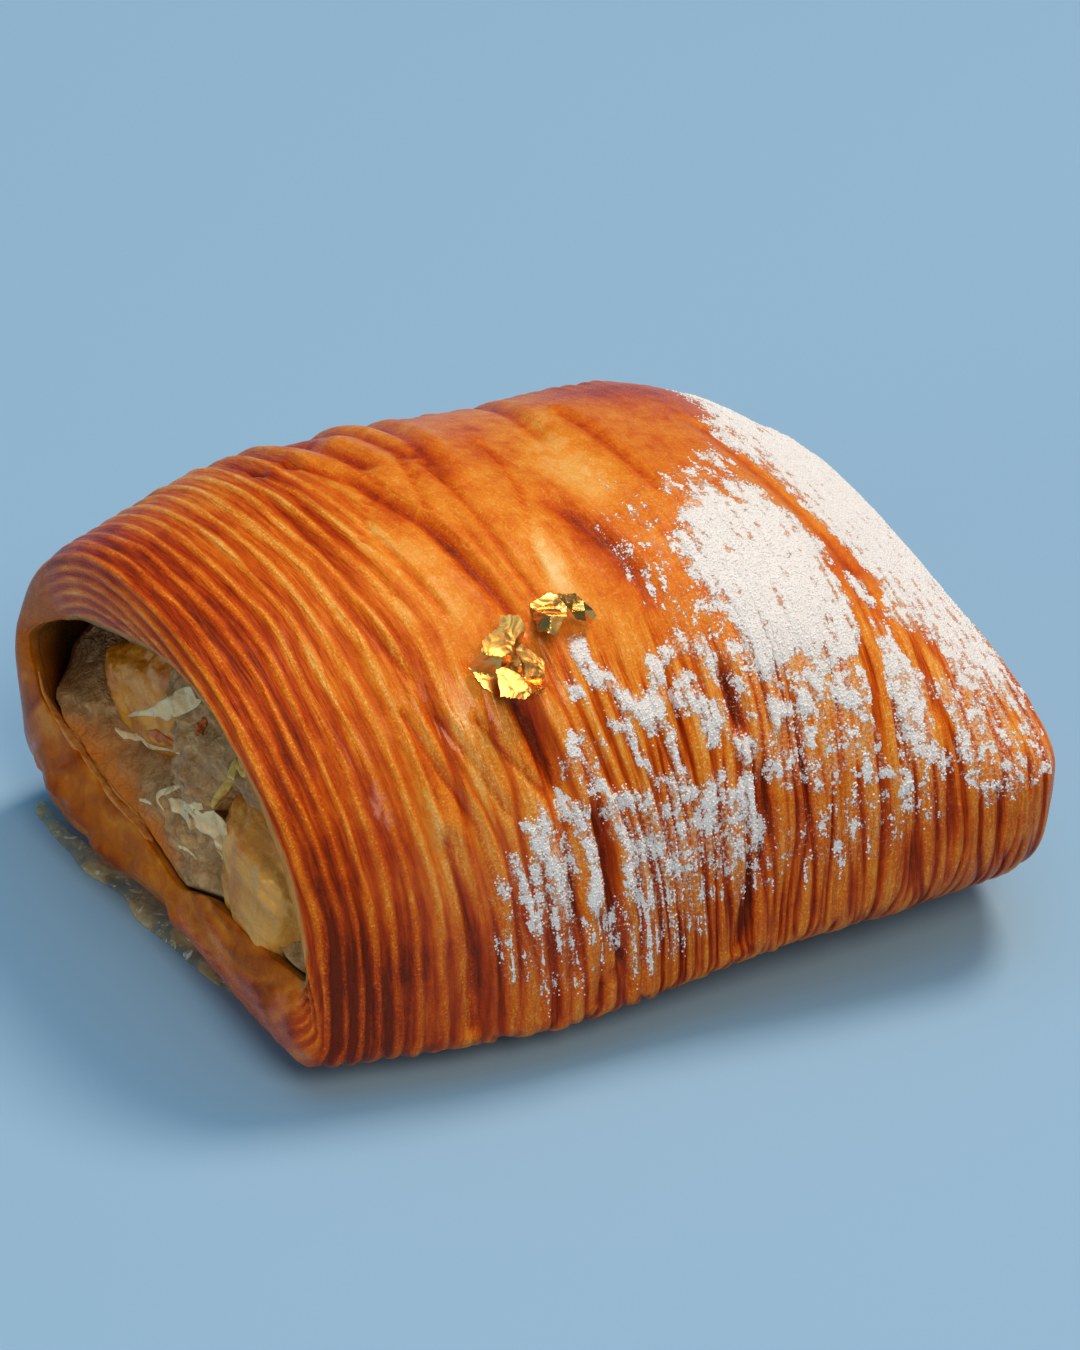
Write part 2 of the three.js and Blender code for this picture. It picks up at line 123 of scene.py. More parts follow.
# Ridges of the laminated dough, and how far they drift along the roll on top and on the front
RIDGES = 50
RIDGE_PITCH = LENGTH / RIDGES
RIDGE_DEPTH = 0.27
FINE_PLEAT = {"pitch": 0.4, "depth": 0.07}
DRIFT_TOP = [0, 1, 5, 7.5, 6.5, 5, 4, 3, 2, 1, 0]
DRIFT_FRONT = [0, 0.8, 3, 3.2, 1.6, -0.4, -1.6, -1.6, -1.2, -0.4, 0]
WOBBLE = 0.45

# Strands low on the front: how far apart in mm the valleys between them lie, how wide and deep
# the valleys are, how far they wander from side to side, and the steps of their table
STRANDS = {"apart": (0.6, 1.7), "width": 0.24, "depth": 0.5, "wander": 0.9}
STRAND_STEP = {"mm": 0.06, "degrees": 2.0}

# The left mouth's inner edge: angles round the roll, then y and z in mm in the mouth's plane
LEFT_EDGE = [
    (0, 26.6, 21.0), (8, 27.6, 24.0), (16, 28.6, 26.4), (24, 28.4, 29.4), (34, 24.7, 33.0),
    (46, 19.5, 36.6), (58, 14.4, 39.5), (70, 8.9, 41.6), (82, 3.5, 43.2), (92, -2.3, 45.0),
    (100, -7.3, 45.8), (108, -12.4, 45.6), (118, -18.1, 44.4), (128, -23.0, 41.6),
    (136, -26.2, 38.6), (148, -30.0, 33.0), (158, -32.4, 28.0), (166, -34.0, 23.0),
    (174, -34.6, 19.2), (184, -33.4, 17.6), (196, -29.2, 16.9), (210, -23.1, 16.2),
    (226, -17.0, 16.2), (238, -13.0, 15.9), (250, -8.4, 13.9), (260, -5.8, 12.4),
    (270, -3.6, 12.9), (280, -0.6, 14.2), (292, 3.0, 15.4), (302, 6.5, 15.7),
    (314, 10.6, 16.0), (326, 14.8, 17.2), (338, 18.4, 18.4), (348, 22.2, 19.2),
    (360, 26.6, 21.0),
]

# The wall, and the right mouth as pairs of an angle round the roll and an inset in mm
WALL = 4.6
MOUTH_RIGHT = [(0, 5), (90, 5.5), (180, 5), (225, 7), (270, 6.5), (320, 7), (360, 5)]
LIP = {"left_rows": 24, "right_rows": 10, "bulge": 1.1, "roll": 0.85, "pitch": 1.5, "depth": 0.3}

# How far the left lip's parts swell in mm. The wet part's own swelling and its lumps go out
# towards its right end, between the two angles.
SWELL = {"flap": 1.5, "wet": 0.2, "wet_left": 1.3, "lumps": 1.2, "rim": 0.1, "lines": 0.3,
         "goes_out": (335, 362)}

# How far the wrap's inside reaches into its two mouths along the roll, in mm
BORE = {"left": 6, "right": 92}

# The filling, in mm: its gap to the wall, the hollow at its top, where its left face starts behind
# BORE["left"] at each angle, where the hollow's painted shade comes in as the camera sees it, and
# how the left face heaps up and sinks
GAP = 0.2
HOLLOW = {"depth": 7, "reach": 26}
LEFT_RIM = [(0, -5.0), (16, -1.5), (30, 3.5), (50, 8), (80, 7), (100, 4), (125, 1), (150, -1.5),
            (170, -3.5), (200, -5.6), (330, -5.9), (350, -5.8), (360, -5.0)]
FACE_BULGE = {"left": 1.5, "right": 1.8}
HOLLOW_SHADE = {"above": (40, 52), "top_lean": 0.9, "behind": (14, 20), "back_lean": 0.3,
                "level": 30, "reach": 20}
HEAP = {"height": 2.2, "middle": (-3, 30), "half": (5, 6)}
PIT = {"height": 3.0, "middle": (-12, 28), "half": (3.2, 3.6)}
TOP_SINK = {"depth": 7.0, "y": (11, 20), "z": (22, 31)}
POCKET_DEPTH = 3.6

# Pieces of pear: half sizes and middle in mm, and turns in radians about X, Y and Z. Their mesh
# is a ball whose faces are divided this many times.
FRUIT_DIVISIONS = 6
FRUIT = {
    "pear_slice_left": {"slot": "pear", "half": (4.6, 9.0, 10.2), "at": (-36.4, -18.6, 19.8),
                        "tilt": (0.15, 0, 0.18), "flatness": 0.5, "seed": 1},
    "pear_chunk_left": {"slot": "baked_pear", "half": (4.6, 10.2, 6.8), "at": (-39.2, 11.7, 28.0),
                        "tilt": (-0.46, 0, 0.18), "flatness": 0.6, "seed": 2},
    "pear_slice_right": {"slot": "pear", "half": (5, 9, 5.2), "at": (46.4, 11, 15.5),
                         "tilt": (0.2, 0, 0.1), "flatness": 0.75, "seed": 3},
    "pear_chunk_right": {"slot": "baked_pear", "half": (4.5, 7, 4.6), "at": (47.2, -12, 17),
                         "tilt": (-0.2, 0, 0), "flatness": 0.8, "seed": 4},
}

# Smears on the filling and fruit in the left mouth: a name, a finish, and a path of y and z and a
# half width, all in mm. The path lies in a plane inside the mouth and is carried along the
# camera's line of sight to what lies there, but no deeper than the drop. Along that line y and z
# change by the shift for each mm of depth. The search for what lies there starts this far before
# the plane.
SMEAR_PLANE = 5
SMEAR_DROP = 1.5
SEARCH_FROM = 60
SMEAR_MESH = {"along": 60, "round": 20}
SIGHT_SHIFT = {"y": 1.62, "z": -1.24}
SMEARS = [
    ("cream_streak_high", "white", [(15.6, 23.2, 0.1), (12.6, 25.4, 0.35), (9.4, 27.6, 0.5),
                                    (6.1, 29.9, 1.3), (2.0, 33.6, 1.3), (-3.1, 38.0, 1.0)]),
    ("cream_streak_low", "white", [(18.6, 19.6, 0.25), (16.3, 19.9, 0.5), (12.8, 21.6, 0.4),
                                   (10.1, 22.0, 0.35), (6.7, 23.7, 0.2), (1.8, 26.4, 0.1)]),
    ("cream_curl", "white", [(6.6, 14.9, 0.2), (8.2, 15.8, 0.35), (5.9, 18.3, 0.35),
                             (2.7, 21.1, 0.2)]),
    ("cream_blob", "white", [(5.2, 16.4, 0.7), (3.0, 17.6, 1.3), (-0.4, 18.2, 1.6),
                             (-3.4, 19.2, 1.7), (-7.0, 21.4, 1.2), (-8.6, 21.8, 0.6)]),
    ("cream_blob_low", "white", [(-4.0, 20.8, 0.6), (-6.0, 19.4, 0.9), (-6.6, 17.4, 0.6),
                                 (-6.2, 15.8, 0.2)]),
    ("cream_blob_high", "white", [(1.4, 18.6, 0.4), (-0.6, 20.2, 0.5), (-2.8, 21.6, 0.3)]),
    ("cream_speck", "white", [(12.4, 12.9, 0.15), (11.0, 13.6, 0.3), (9.6, 14.1, 0.15)]),
    ("cream_speck_low", "white", [(3.4, 11.6, 0.15), (1.6, 12.4, 0.3), (-0.6, 12.4, 0.15)]),
    ("pear_core_low", "core", [(10.6, 24.0, 0.3), (7.2, 25.2, 0.9), (4.0, 26.4, 0.3)]),
    ("pear_core_high", "core", [(-1.6, 31.2, 0.4), (-2.8, 33.2, 0.8), (-3.9, 34.8, 0.4)]),
    ("pear_sliver", "sliver", [(-11.0, 33.4, 0.5), (-9.4, 29.7, 0.6), (-7.2, 26.3, 0.6),
                               (-4.6, 22.6, 0.3)]),
    ("pear_sliver_high", "sliver", [(-10.4, 32.4, 0.5), (-12.2, 32.9, 0.9), (-14.0, 33.4, 0.4)]),
    ("cream_seam", "film", [(9.4, 8.8, 0.3), (11.4, 9.2, 0.8), (18.6, 9.9, 1.1), (22.8, 11.0, 0.8),
                            (26.4, 12.2, 1.2), (30.2, 13.0, 0.9), (34.4, 14.9, 0.5),
                            (35.7, 17.8, 0.2)]),
]

# Folds pressed into the wrap, broad ones first: depth and width in mm, then points of mm along and
# degrees round. Where the depth is below 0 the dough swells.
CREASES = [
    (0.8, 1.1, [(23.5, 76), (27.4, 88), (30.4, 100), (32.2, 111), (34.2, 122)]),
    (0.45, 1.6, [(45.6, 100), (48.0, 106), (50.2, 113), (51.4, 122)]),
    (1.3, 1.5, [(30.2, 136), (31.2, 142), (32.2, 149)]),
    (0.35, 1.3, [(72, 86), (75, 100), (78, 113), (80, 127), (82, 150)]),
    (0.8, 1.2, [(17.6, 154), (18.6, 166), (18.4, 180)]),
    (0.9, 1.1, [(32.6, 152), (32.2, 162), (31.6, 176)]),
    (1.0, 1.1, [(36.6, 155), (37.2, 165), (36.8, 172)]),
    (0.9, 1.2, [(56.4, 138), (57.0, 146)]),
    (0.8, 1.3, [(58.6, 156), (57.5, 166), (54, 180)]),
    (0.8, 2.6, [(28, 20), (31, 45), (30, 66)]),
    (0.7, 2.4, [(44, -10), (47, 20), (46, 48)]),
    (0.7, 2.2, [(66, 0), (64, 26), (66, 52)]),
    (-0.8, 6, [(39, 84), (41, 104)]),
    (-0.8, 5, [(58, 78), (60, 104)]),
    (-0.6, 4, [(17, 60), (19, 84)]),
    (-0.5, 1.1, [(47.0, 96), (50.6, 106), (52.8, 116)]),
    (0.4, 0.4, [(39.8, 116), (40.0, 110), (41.2, 105), (43.2, 98), (44.2, 92), (44.6, 84)]),
    (0.4, 0.5, [(34.4, 84), (32.8, 92), (31.8, 97)]),
    (0.4, 0.5, [(20.0, 74), (20.4, 90), (21.4, 100), (22.0, 112)]),
    (0.35, 0.45, [(22.6, 100), (24.2, 97), (26.6, 92)]),
    (0.35, 0.45, [(24.6, 84), (24.8, 92), (24.2, 98), (25.0, 108), (26.4, 118)]),
    (0.3, 0.4, [(29.0, 84), (29.4, 90)]),
    (0.35, 0.8, [(56.8, 79), (58.2, 92), (59.4, 101)]),
    (0.4, 0.5, [(36.0, 88), (36.4, 100), (36.8, 112), (37.6, 118)]),
    (0.35, 0.45, [(18.0, 84), (18.2, 96), (18.8, 110), (20.2, 122)]),
    (0.3, 0.5, [(34.2, 100), (34.8, 110), (36.0, 120)]),
    (0.9, 1.1, [(18.4, 42), (19.2, 60), (20.0, 76)]),
    (0.9, 1.2, [(22.6, 40), (23.4, 60), (23.8, 76)]),
    (0.9, 1.3, [(27.4, 44), (28.2, 66), (30.0, 84)]),
    (0.8, 1.3, [(32.6, 48), (33.8, 66), (35.2, 84)]),
    (0.8, 1.3, [(38.4, 46), (38.4, 66), (37.0, 88)]),
    (0.6, 1.2, [(52.0, 30), (53.0, 60), (52.0, 84)]),
    (0.5, 0.6, [(17.0, 132), (18.6, 142), (21.4, 152), (22.6, 164)]),
    (0.45, 0.6, [(20.6, 134), (22.6, 142), (25.2, 151)]),
    (0.5, 0.5, [(24.6, 136), (27.0, 143), (30.4, 150)]),
    (0.5, 0.6, [(35.4, 170), (37.2, 174), (39.4, 179)]),
    (0.45, 0.6, [(40.2, 168), (38.6, 175), (34.6, 180)]),
    (0.45, 0.7, [(16.6, 108), (17.6, 116), (19.0, 126)]),
    (-0.3, 0.5, [(34.6, 133), (33.4, 141), (32.2, 151)]),
    (-0.35, 0.6, [(46.9, 144), (48.4, 138), (50.2, 132)]),
]

# Browning: centre in mm along and degrees round, half sizes in the same units, then how much
# darker the crust is there, or paler where it is below 0
BROWNING = [
    (36.9, 90, 2.2, 5, 0.16), (43.6, 85, 1.8, 5, 0.16), (46.0, 78, 1.2, 2, 0.2),
    (47.8, 106, 1.7, 8, 0.2), (50.4, 114, 1.8, 8, 0.16), (20.3, 88, 1.0, 14, 0.14),
    (27.8, 92, 1.3, 9, 0.16), (31.6, 108, 1.3, 9, 0.22), (57.6, 86, 1.6, 10, 0.12),
    (64, 66, 9, 10, 0.18), (72, 72, 8, 8, 0.2), (3, 80, 4.5, 60, 0.24), (2, 165, 7, 40, 0.2),
    # The spot at 30.4 mm and 141 degrees darkens the deep recess under the large gold flake:
    # painted shade.
    (11, 150, 3.2, 14, 0.16), (63, 156, 6, 9, 0.14), (30.4, 141, 1.2, 6, 0.24),
    (52, 92, 4.0, 12, -0.2), (41.6, 114, 1.5, 9, -0.4), (27.4, 110, 2.2, 11, -0.14),
    (22.0, 104, 0.8, 8, -0.2), (24.4, 100, 0.9, 7, -0.2), (46, 126, 3.6, 6, -0.1),
    (33, 98, 3, 9, -0.06), (26.5, 87, 1.6, 5, -0.2), (39.6, 96, 2.2, 8, -0.08),
    (15.6, 150, 1.8, 14, -0.12), (18.4, 158, 1.8, 10, -0.14), (56.4, 70, 5, 12, -0.1),
    (66, 150, 3, 5, -0.08), (23, 150, 4, 12, -0.06), (8, 172, 9, 8, 0.1),
]

# Powdered sugar: fields are a centre, half sizes and an amount, and strokes are an amount, a
# width in mm and a path. Below 0 an amount leaves a gap.
SUGAR_FIELDS = [
    (67.5, 119, 9.0, 21, 1.02), (61.3, 118, 4.2, 11, 0.95), (63.0, 132, 4.4, 8, 0.92),
    (60.6, 108, 1.3, 3.4, 0.95), (61.0, 100.6, 1.1, 1.8, 1.0), (71.5, 130, 5.5, 12, 0.9),
    (88, 82, 11.5, 46, 1.04), (93, 110, 8, 36, 0.9), (82.0, 108, 4.4, 12, 0.9),
    (86, 124, 6, 8, 0.82), (78.5, 123, 2.2, 3.6, 1.0), (79.4, 145, 3.2, 14, 0.76),
    (92, 132, 7, 12, 0.74), (88, 150, 12, 14, 0.56), (92, 166, 8, 10, 0.42),
    (70.6, 145, 1.9, 3.4, 0.9), (62.3, 145.5, 1.3, 2.6, 0.95), (65.4, 145, 1.2, 2.6, 0.9),
    (67.4, 142, 1.3, 3.0, 0.9), (74.4, 152.5, 1.3, 2.4, 0.9), (72, 159.5, 1.0, 2.0, 0.8),
    (74.2, 161, 1.1, 2.2, 0.85), (76.3, 165, 0.9, 2.4, 0.8), (64.0, 106, 1.2, 3.0, 0.85),
    (69.2, 95, 1.6, 2.0, 0.8), (37.8, 135.3, 1.2, 2.0, 0.95), (34.0, 148, 0.8, 1.6, 0.9),
    (32.5, 151.5, 0.7, 1.2, 0.85), (61.7, 145.4, 1.5, 2.0, 0.95), (56.0, 136, 0.8, 4, 0.6),
    (46.5, 140.5, 1.4, 2.4, 0.9), (44, 162, 5.5, 9, 0.54), (52, 161, 5, 8, 0.57),
    (30, 162, 3.2, 9, 0.56), (43, 172, 9, 7, 0.3), (55, 168, 8, 8, 0.26),
    (66, 152, 10, 9, 0.42), (72, 168, 14, 9, 0.26), (31, 174, 6, 6, 0.24), (24, 168, 4, 10, 0.26),
    (55, 112, 7, 17, 0.24), (57, 130, 6, 10, 0.34), (80, 150, 12, 14, 0.46),
    (36.5, 146, 3, 6, 0.38), (62, 136, 8, 14, 0.36),
    (84.5, 134.5, 3.0, 6, -0.8), (74.2, 139, 1.8, 2.4, -0.6), (83.2, 152, 1.2, 8, -0.5),
    (93.6, 152, 1.0, 8, -0.4),
]
SUGAR_STROKES = [
    (0.97, 2.8, [(74, 93), (79, 80), (84, 62), (89, 40)]),
    (0.92, 1.1, [(39.9, 129.5), (41.5, 134), (43.4, 138), (45.2, 142.5), (46.2, 143.5)]),
    (0.84, 1.0, [(46.2, 143), (47.2, 137.5), (48.8, 133.5), (51, 131.5)]),
    (0.80, 0.9, [(50.5, 131.5), (53, 130.8), (55.2, 132.5)]),
    (0.92, 1.7, [(51.2, 139.5), (52.6, 142), (53.4, 145)]),
    (0.84, 0.85, [(41.6, 141), (43, 146), (44.8, 151)]),
    (0.84, 0.7, [(35.2, 142), (36.3, 147.5), (38.6, 153), (42.2, 154.5)]),
    (0.76, 0.8, [(47.6, 147.5), (48.4, 152)]),
    (0.92, 1.2, [(56.6, 148), (57.0, 153)]),
    (0.84, 0.9, [(56.2, 154), (55.9, 160), (56.8, 167)]),
    (0.80, 1.2, [(47.0, 153.5), (49.5, 156), (52, 157), (55, 156.5)]),
    (0.88, 1.0, [(34, 153), (34.6, 158), (35.2, 163), (35, 167)]),
    (0.71, 1.4, [(29.2, 156), (30.2, 160), (30.8, 164)]),
    (0.80, 0.5, [(26.9, 153), (28, 157)]),
    (0.80, 0.6, [(28.8, 151), (29.7, 155)]),
    (0.71, 1.2, [(38.6, 155), (39.6, 160), (40.4, 167)]),
    (0.84, 0.8, [(25.0, 157.5), (25.6, 162), (26.4, 168.5)]),
    (0.67, 0.6, [(76.3, 156), (76.8, 163)]),
    (-1.1, 1.1, [(72.6, 90), (75.0, 100), (77.0, 108), (79.8, 115)]),
    (-0.9, 0.8, [(79.6, 116), (76.4, 121), (76.4, 132), (75.2, 146), (75.8, 158)]),
    (-0.8, 0.8, [(79.8, 115), (81.4, 121), (80.4, 127)]),
    (-0.6, 0.5, [(74.0, 88), (77.0, 85)]),
    (-0.5, 0.5, [(84.0, 75), (88.0, 60), (91.0, 50)]),
    (-0.6, 0.6, [(66.4, 100), (69.0, 106)]),
]

# Where sugar lies thick it stands out by this much in mm, give or take its lumps
SUGAR_THICKNESS = 0.36
SUGAR_LUMPS = 0.14

# Sugar grains: how many on a mm2 where the sugar is thick, their radius in mm, their sizes against
# that, how far they are turned in radians, the seeds of all this, and a piece for each band of mm
# along X, which keeps each piece's mesh small
GRAINS = {"per_mm2": 10.0, "radius": 0.125, "sizes": (0.45, 1.35), "turn": 6.2,
          "first_seed": 40, "size_seed": 3, "turn_seed": 5}
SUGAR_BANDS = [(-25, 9), (9, 20), (20, 33), (33, 43), (43, 60)]

# Where egg wash and syrup leave the crust glossy, and where a pinkish sheen is painted into its
# colour as a painted highlight: a centre, half sizes and an amount
GLAZE = [(10.5, 146, 3, 9, 1.0), (24, 150, 7, 14, 0.8), (22, 137, 4, 8, 0.5), (33, 132, 8, 9, 0.5),
         (16, 158, 4, 14, 0.5)]
PAINTED_SHEEN = [(11.2, 145, 1.6, 7, 0.6), (14.6, 150, 1.0, 5, 0.4), (16.2, 158, 0.8, 8, 0.3)]

# Gold leaf: a name, a place of mm along and degrees round, a lift, a seed and sheets. Each sheet
# is a lean and an outline of mm along and mm round the skin from the flake's place.
GOLD_FLAKES = [
    ("gold_leaf_large", (30.4, 128.5), 0.5, 4, [
        (0.0, [(-4.4, -0.4), (-2.6, -2.6), (0.2, -3.4), (2.2, -2.0), (4.6, 0.6), (3.4, 3.0),
               (0.4, 3.6), (-2.4, 3.4), (-3.8, 1.6)]),
        (0.5, [(-1.8, -1.6), (0.4, -4.2), (2.6, -4.0), (2.8, -1.0), (1.4, 1.4), (-1.4, 1.8)]),
        (-0.4, [(-2.8, 0.6), (0.8, 0.2), (4.8, 0.8), (3.2, 2.6), (-0.8, 3.8), (-3.4, 3.0)]),
    ]),
    ("gold_leaf_small", (38.8, 122.5), 0.6, 9, [
        (0.3, [(-3.8, 1.4), (-2.4, -1.8), (0.4, -2.6), (2.2, -1.6), (1.2, 0.2), (-0.8, 1.0),
               (-2.6, 2.6)]),
        (0.5, [(0.4, -1.8), (2.6, -1.6), (4.6, 0.8), (3.2, 1.6), (1.2, 1.0)]),
    ]),
]

# Its folds: how many, how steep, and how far from the flake's place they may run in mm; the fine
# pleats; the foil's thickness; how far it may rise off the skin, and how much more each sheet does
GOLD = {"folds": 12, "steep": (0.25, 0.7), "spread": 3.5, "pleat": 0.8, "pleat_height": 0.03,
        "thickness": 0.05, "rise": (0.3, 3.2), "sheet_apart": 0.35}
GOLD_MESH = {"rings": 30, "round": 100}

# Clear syrup under the left mouth: where it runs in y, how wide and high it is, and how far it
# reaches under the crust, all in mm
SYRUP = {"from": -12, "to": 33, "width": 4.4, "height": 1.5, "under": 0.8}
SYRUP_MESH = {"along": 120, "over": 26}


# Small curves

def smooth(low, high, value):
    """0 up to a low value and 1 from a high one on, with a soft rise between them."""
    t = np.clip((value - low) / (high - low), 0, 1)
    return t * t * (3 - 2 * t)


def window(stretch, value):
    """1 inside a stretch and 0 outside it, with soft ends."""
    start, full, fading, gone = stretch
    return smooth(start, full, value) * (1 - smooth(fading, gone, value))


def signed_power(value, power):
    return np.sign(value) * np.abs(value) ** power


def along(values, t):
    """A smooth curve through values that stand at even steps, for t from 0 to 1."""
    ends = [2 * values[0] - values[1], *values, 2 * values[-1] - values[-2]]
    table = np.array(ends, float)
    last = len(values) - 1
    place = np.clip(t, 0, 1) * last
    i = np.minimum(np.floor(place).astype(int), last - 1)
    f = place - i
    a, b, c, d = table[i], table[i + 1], table[i + 2], table[i + 3]
    return b + 0.5 * f * (c - a + f * (2 * a - 5 * b + 4 * c - d + f * (3 * (b - c) + d - a)))


def around_pairs(pairs, degrees):
    """A smooth curve through pairs of angle and value."""
    turn = np.mod(degrees, 360)
    angles = np.array([pair[0] for pair in pairs], float)
    values = np.array([pair[1] for pair in pairs], float)
    i = np.clip(np.searchsorted(angles, turn, side="right") - 1, 0, len(pairs) - 2)
    share = smooth(angles[i], angles[i + 1], turn)
    return values[i] + (values[i + 1] - values[i]) * share


def patchy(a, b, size_a, size_b, seed, wrap_b=None):
    """Smooth random values from -1 to 1 over two coordinates, in patches of the sizes given.
    Where the second one is an angle, wrap_b is how many patches go right round."""
    count = 256
    table = np.random.default_rng(seed).uniform(-1, 1, (count, count))
    u, v = np.broadcast_arrays(a / size_a, b / size_b)
    i, j = np.floor(u).astype(int), np.floor(v).astype(int)
    f, g = smooth(0, 1, u - i), smooth(0, 1, v - j)
    around = wrap_b or count

    def at(step_i, step_j):
        return table[(i + step_i) % count, (j + step_j) % around]

    low = at(0, 0) * (1 - f) + at(1, 0) * f
    high = at(0, 1) * (1 - f) + at(1, 1) * f
    return low * (1 - g) + high * g


def path_offset(x, degrees, path):
    """Millimetres over the skin from a path of (mm along, degrees round), below 0 on its left."""
    offset = np.full(np.broadcast(x, degrees).shape, 1e6)
    for (ax, ad), (bx, bd) in zip(path, path[1:]):
        run, rise = bx - ax, (bd - ad) * MM_PER_DEGREE
        px, py = x - ax, (degrees - ad) * MM_PER_DEGREE
        t = np.clip((px * run + py * rise) / (run * run + rise * rise), 0, 1)
        away = np.hypot(px - run * t, py - rise * t)
        side = np.where(px * rise - py * run < 0, -1.0, 1.0)
        offset = np.where(away < np.abs(offset), side * away, offset)
    return offset


# The roll's form

def body_point(x, degrees, inward=0.0):
    """Points of the smooth body in mm. Angle 0 points to the back, 90 up, 180 to the front."""
    x, degrees, inward = np.broadcast_arrays(x, degrees, inward)
    u = x / LENGTH
    c, s = np.cos(np.radians(degrees)), np.sin(np.radians(degrees))
    above = s >= 0
    width = np.where(c > 0, along(HALF_BACK, u), along(HALF_FRONT, u))
    belt, height = along(BELT_HEIGHT, u), along(HEIGHT, u)
    tall = np.where(above, height - belt, belt)
    side_power = np.where(above, SIDE_POWER["above"], SIDE_POWER["below"])
    y = width * signed_power(c, side_power)
    z = belt + tall * signed_power(s, np.where(above, TOP_POWER, BOTTOM_POWER))
    core = CORE_SHARE * height
    reach = np.hypot(y, z - core)
    keep = (reach - inward) / reach
    y = y * keep
    z = core + (z - core) * keep
    arch = ARCH["height"] * np.exp(-(((x - ARCH["at"]) / ARCH["reach"]) ** 2))
    z = z + arch * np.clip(1 - z / ARCH["fades"], 0, 1)
    return np.stack([LEFT_END + x + LEFT_END_SKEW * (1 - u) * y, y, z], axis=-1)


def ridge_place(s, degrees):
    """Where along the roll a place s on the straight dough comes to lie."""
    back = 1 - smooth(200, 300, degrees)
    over_top = smooth(70, 122, degrees) * back
    down_front = smooth(125, 182, degrees) * back
    u = s / LENGTH
    return s + along(DRIFT_TOP, u) * over_top + along(DRIFT_FRONT, u) * down_front


def wobble(s, degrees):
    """Ridges are neither straight nor evenly wide, except close to the two mouths."""
    free = window((1, 9, LENGTH - 9, LENGTH - 1), s)
    slow = patchy(s, degrees, 5.2, 24, 11, wrap_b=15)
    quick = patchy(s, degrees, 3.1, 12, 12, wrap_b=30)
    return WOBBLE * free * (slow + 0.5 * quick)


def ridge_strength(x, degrees):
    """Ridges are weaker at the right end and underneath, and nearly gone on the smooth top."""
    right = 1 - 0.3 * smooth(60, 80, x)
    under = 1 - 0.7 * window(STRETCH["underside"], degrees)
    return (1 - 0.9 * panel_share(x, degrees)) * right * under


def flute_depth(x, degrees):
    """Low on the front, away from the left mouth, loose strands take the ridges' place."""
    return window(STRETCH["strands"], degrees) * smooth(*COMES_IN["strands"], x)


def panel_share(x, degrees):
    """1 where the dough on top lies smooth, with neither ridges nor strands."""
    return smooth(*COMES_IN["smooth_top"], x) * window(STRETCH["smooth_top"], degrees)


def set_back(s, degrees):
    """How far the left mouth's outer edge stands behind the mouth's plane, fading inwards."""
    return around_pairs(SET_BACK, degrees) * np.clip(1 - s / SET_BACK_FADES, 0, 1)


def rounded_end(from_end):
    """1 at an end and 0 from one radius on, along a quarter circle."""
    return 1 - np.sqrt(1 - (1 - np.clip(from_end, 0, 1)) ** 2)


def end_tuck(s, degrees):
    """How far the skin turns in towards the two mouths, in mm."""
    foot = window(STRETCH["tucked_foot"], degrees)
    left = LEFT_TUCK["top"] + (LEFT_TUCK["foot"] - LEFT_TUCK["top"]) * foot
    return (END_ROUND["left"] * left * rounded_end(s / END_ROUND["left"])
            + END_ROUND["right_tuck"] * rounded_end((LENGTH - s) / END_ROUND["right"]))


def signed_turn(degrees):
    """Angles from -60 to 300, so that paths and patches can cross angle 0."""
    return np.where(degrees > 300, degrees - 360, degrees)


def folds_at(x, degrees):
    """How deep the folds in the wrap are in mm, and how much painted shade darkens them. Beside a
    fold the dough bulges a little."""
    turned = signed_turn(degrees)
    depth = np.zeros(np.broadcast(x, degrees).shape)
    dark = np.zeros(depth.shape)
    for fold, width, path in CREASES:
        offset = path_offset(x, turned, path) / width
        depth += fold * np.exp(-(offset ** 2))
        if fold > 0:
            depth -= 0.3 * fold * np.exp(-(((offset - 1.7) / 0.8) ** 2))
            dark += min(fold, 0.7) * np.exp(-((offset / 0.6) ** 2))
    return depth, dark


def ellipse_radius(x, degrees, centre_x, centre_d, half_x, half_d):
    """0 in the middle of an ellipse on the skin and 1 on its edge."""
    return np.hypot((x - centre_x) / half_x, (signed_turn(degrees) - centre_d) / half_d)


def stroke(x, degrees, width, path, core):
    """1 along a path on the skin as far as its core reaches, falling to 0 beside it."""
    return 1 - smooth(core, 1.7, np.abs(path_offset(x, degrees, path)) / width)


def sugar_cover(x, degrees):
    """How much sugar lies on a place, with wavering edges: 0 for none, 1 where it hides the crust.
    The strongest field or stroke counts, and then the gaps are taken off."""
    x, degrees = np.broadcast_arrays(x, degrees)
    x = x + 0.7 * patchy(x, degrees, 1.5, 3.2, 13) + 0.45 * patchy(x, degrees, 0.7, 1.6, 14)
    degrees = degrees + 1.8 * patchy(x, degrees, 1.5, 2.6, 15)
    cover = np.zeros(x.shape)
    gaps = []
    for *ellipse, amount in SUGAR_FIELDS:
        part = amount * (1 - smooth(0.62, 1.3, ellipse_radius(x, degrees, *ellipse)))
        if amount > 0:
            cover = np.maximum(cover, part)
        else:
            gaps.append(part)
    for amount, width, path in SUGAR_STROKES:
        if amount > 0:
            cover = np.maximum(cover, amount * stroke(x, degrees, width, path, 0.35))
        else:
            gaps.append(amount * stroke(x, degrees, width, path, 0.4))
    for gap in gaps:
        cover = cover + gap
    return np.clip(cover, 0, 1.25)


def spots(x, degrees, places):
    """Soft round patches on the skin, added together."""
    total = np.zeros(np.broadcast(x, degrees).shape)
    for *ellipse, amount in places:
        total = total + amount * np.exp(-(ellipse_radius(x, degrees, *ellipse) ** 2))
    return total


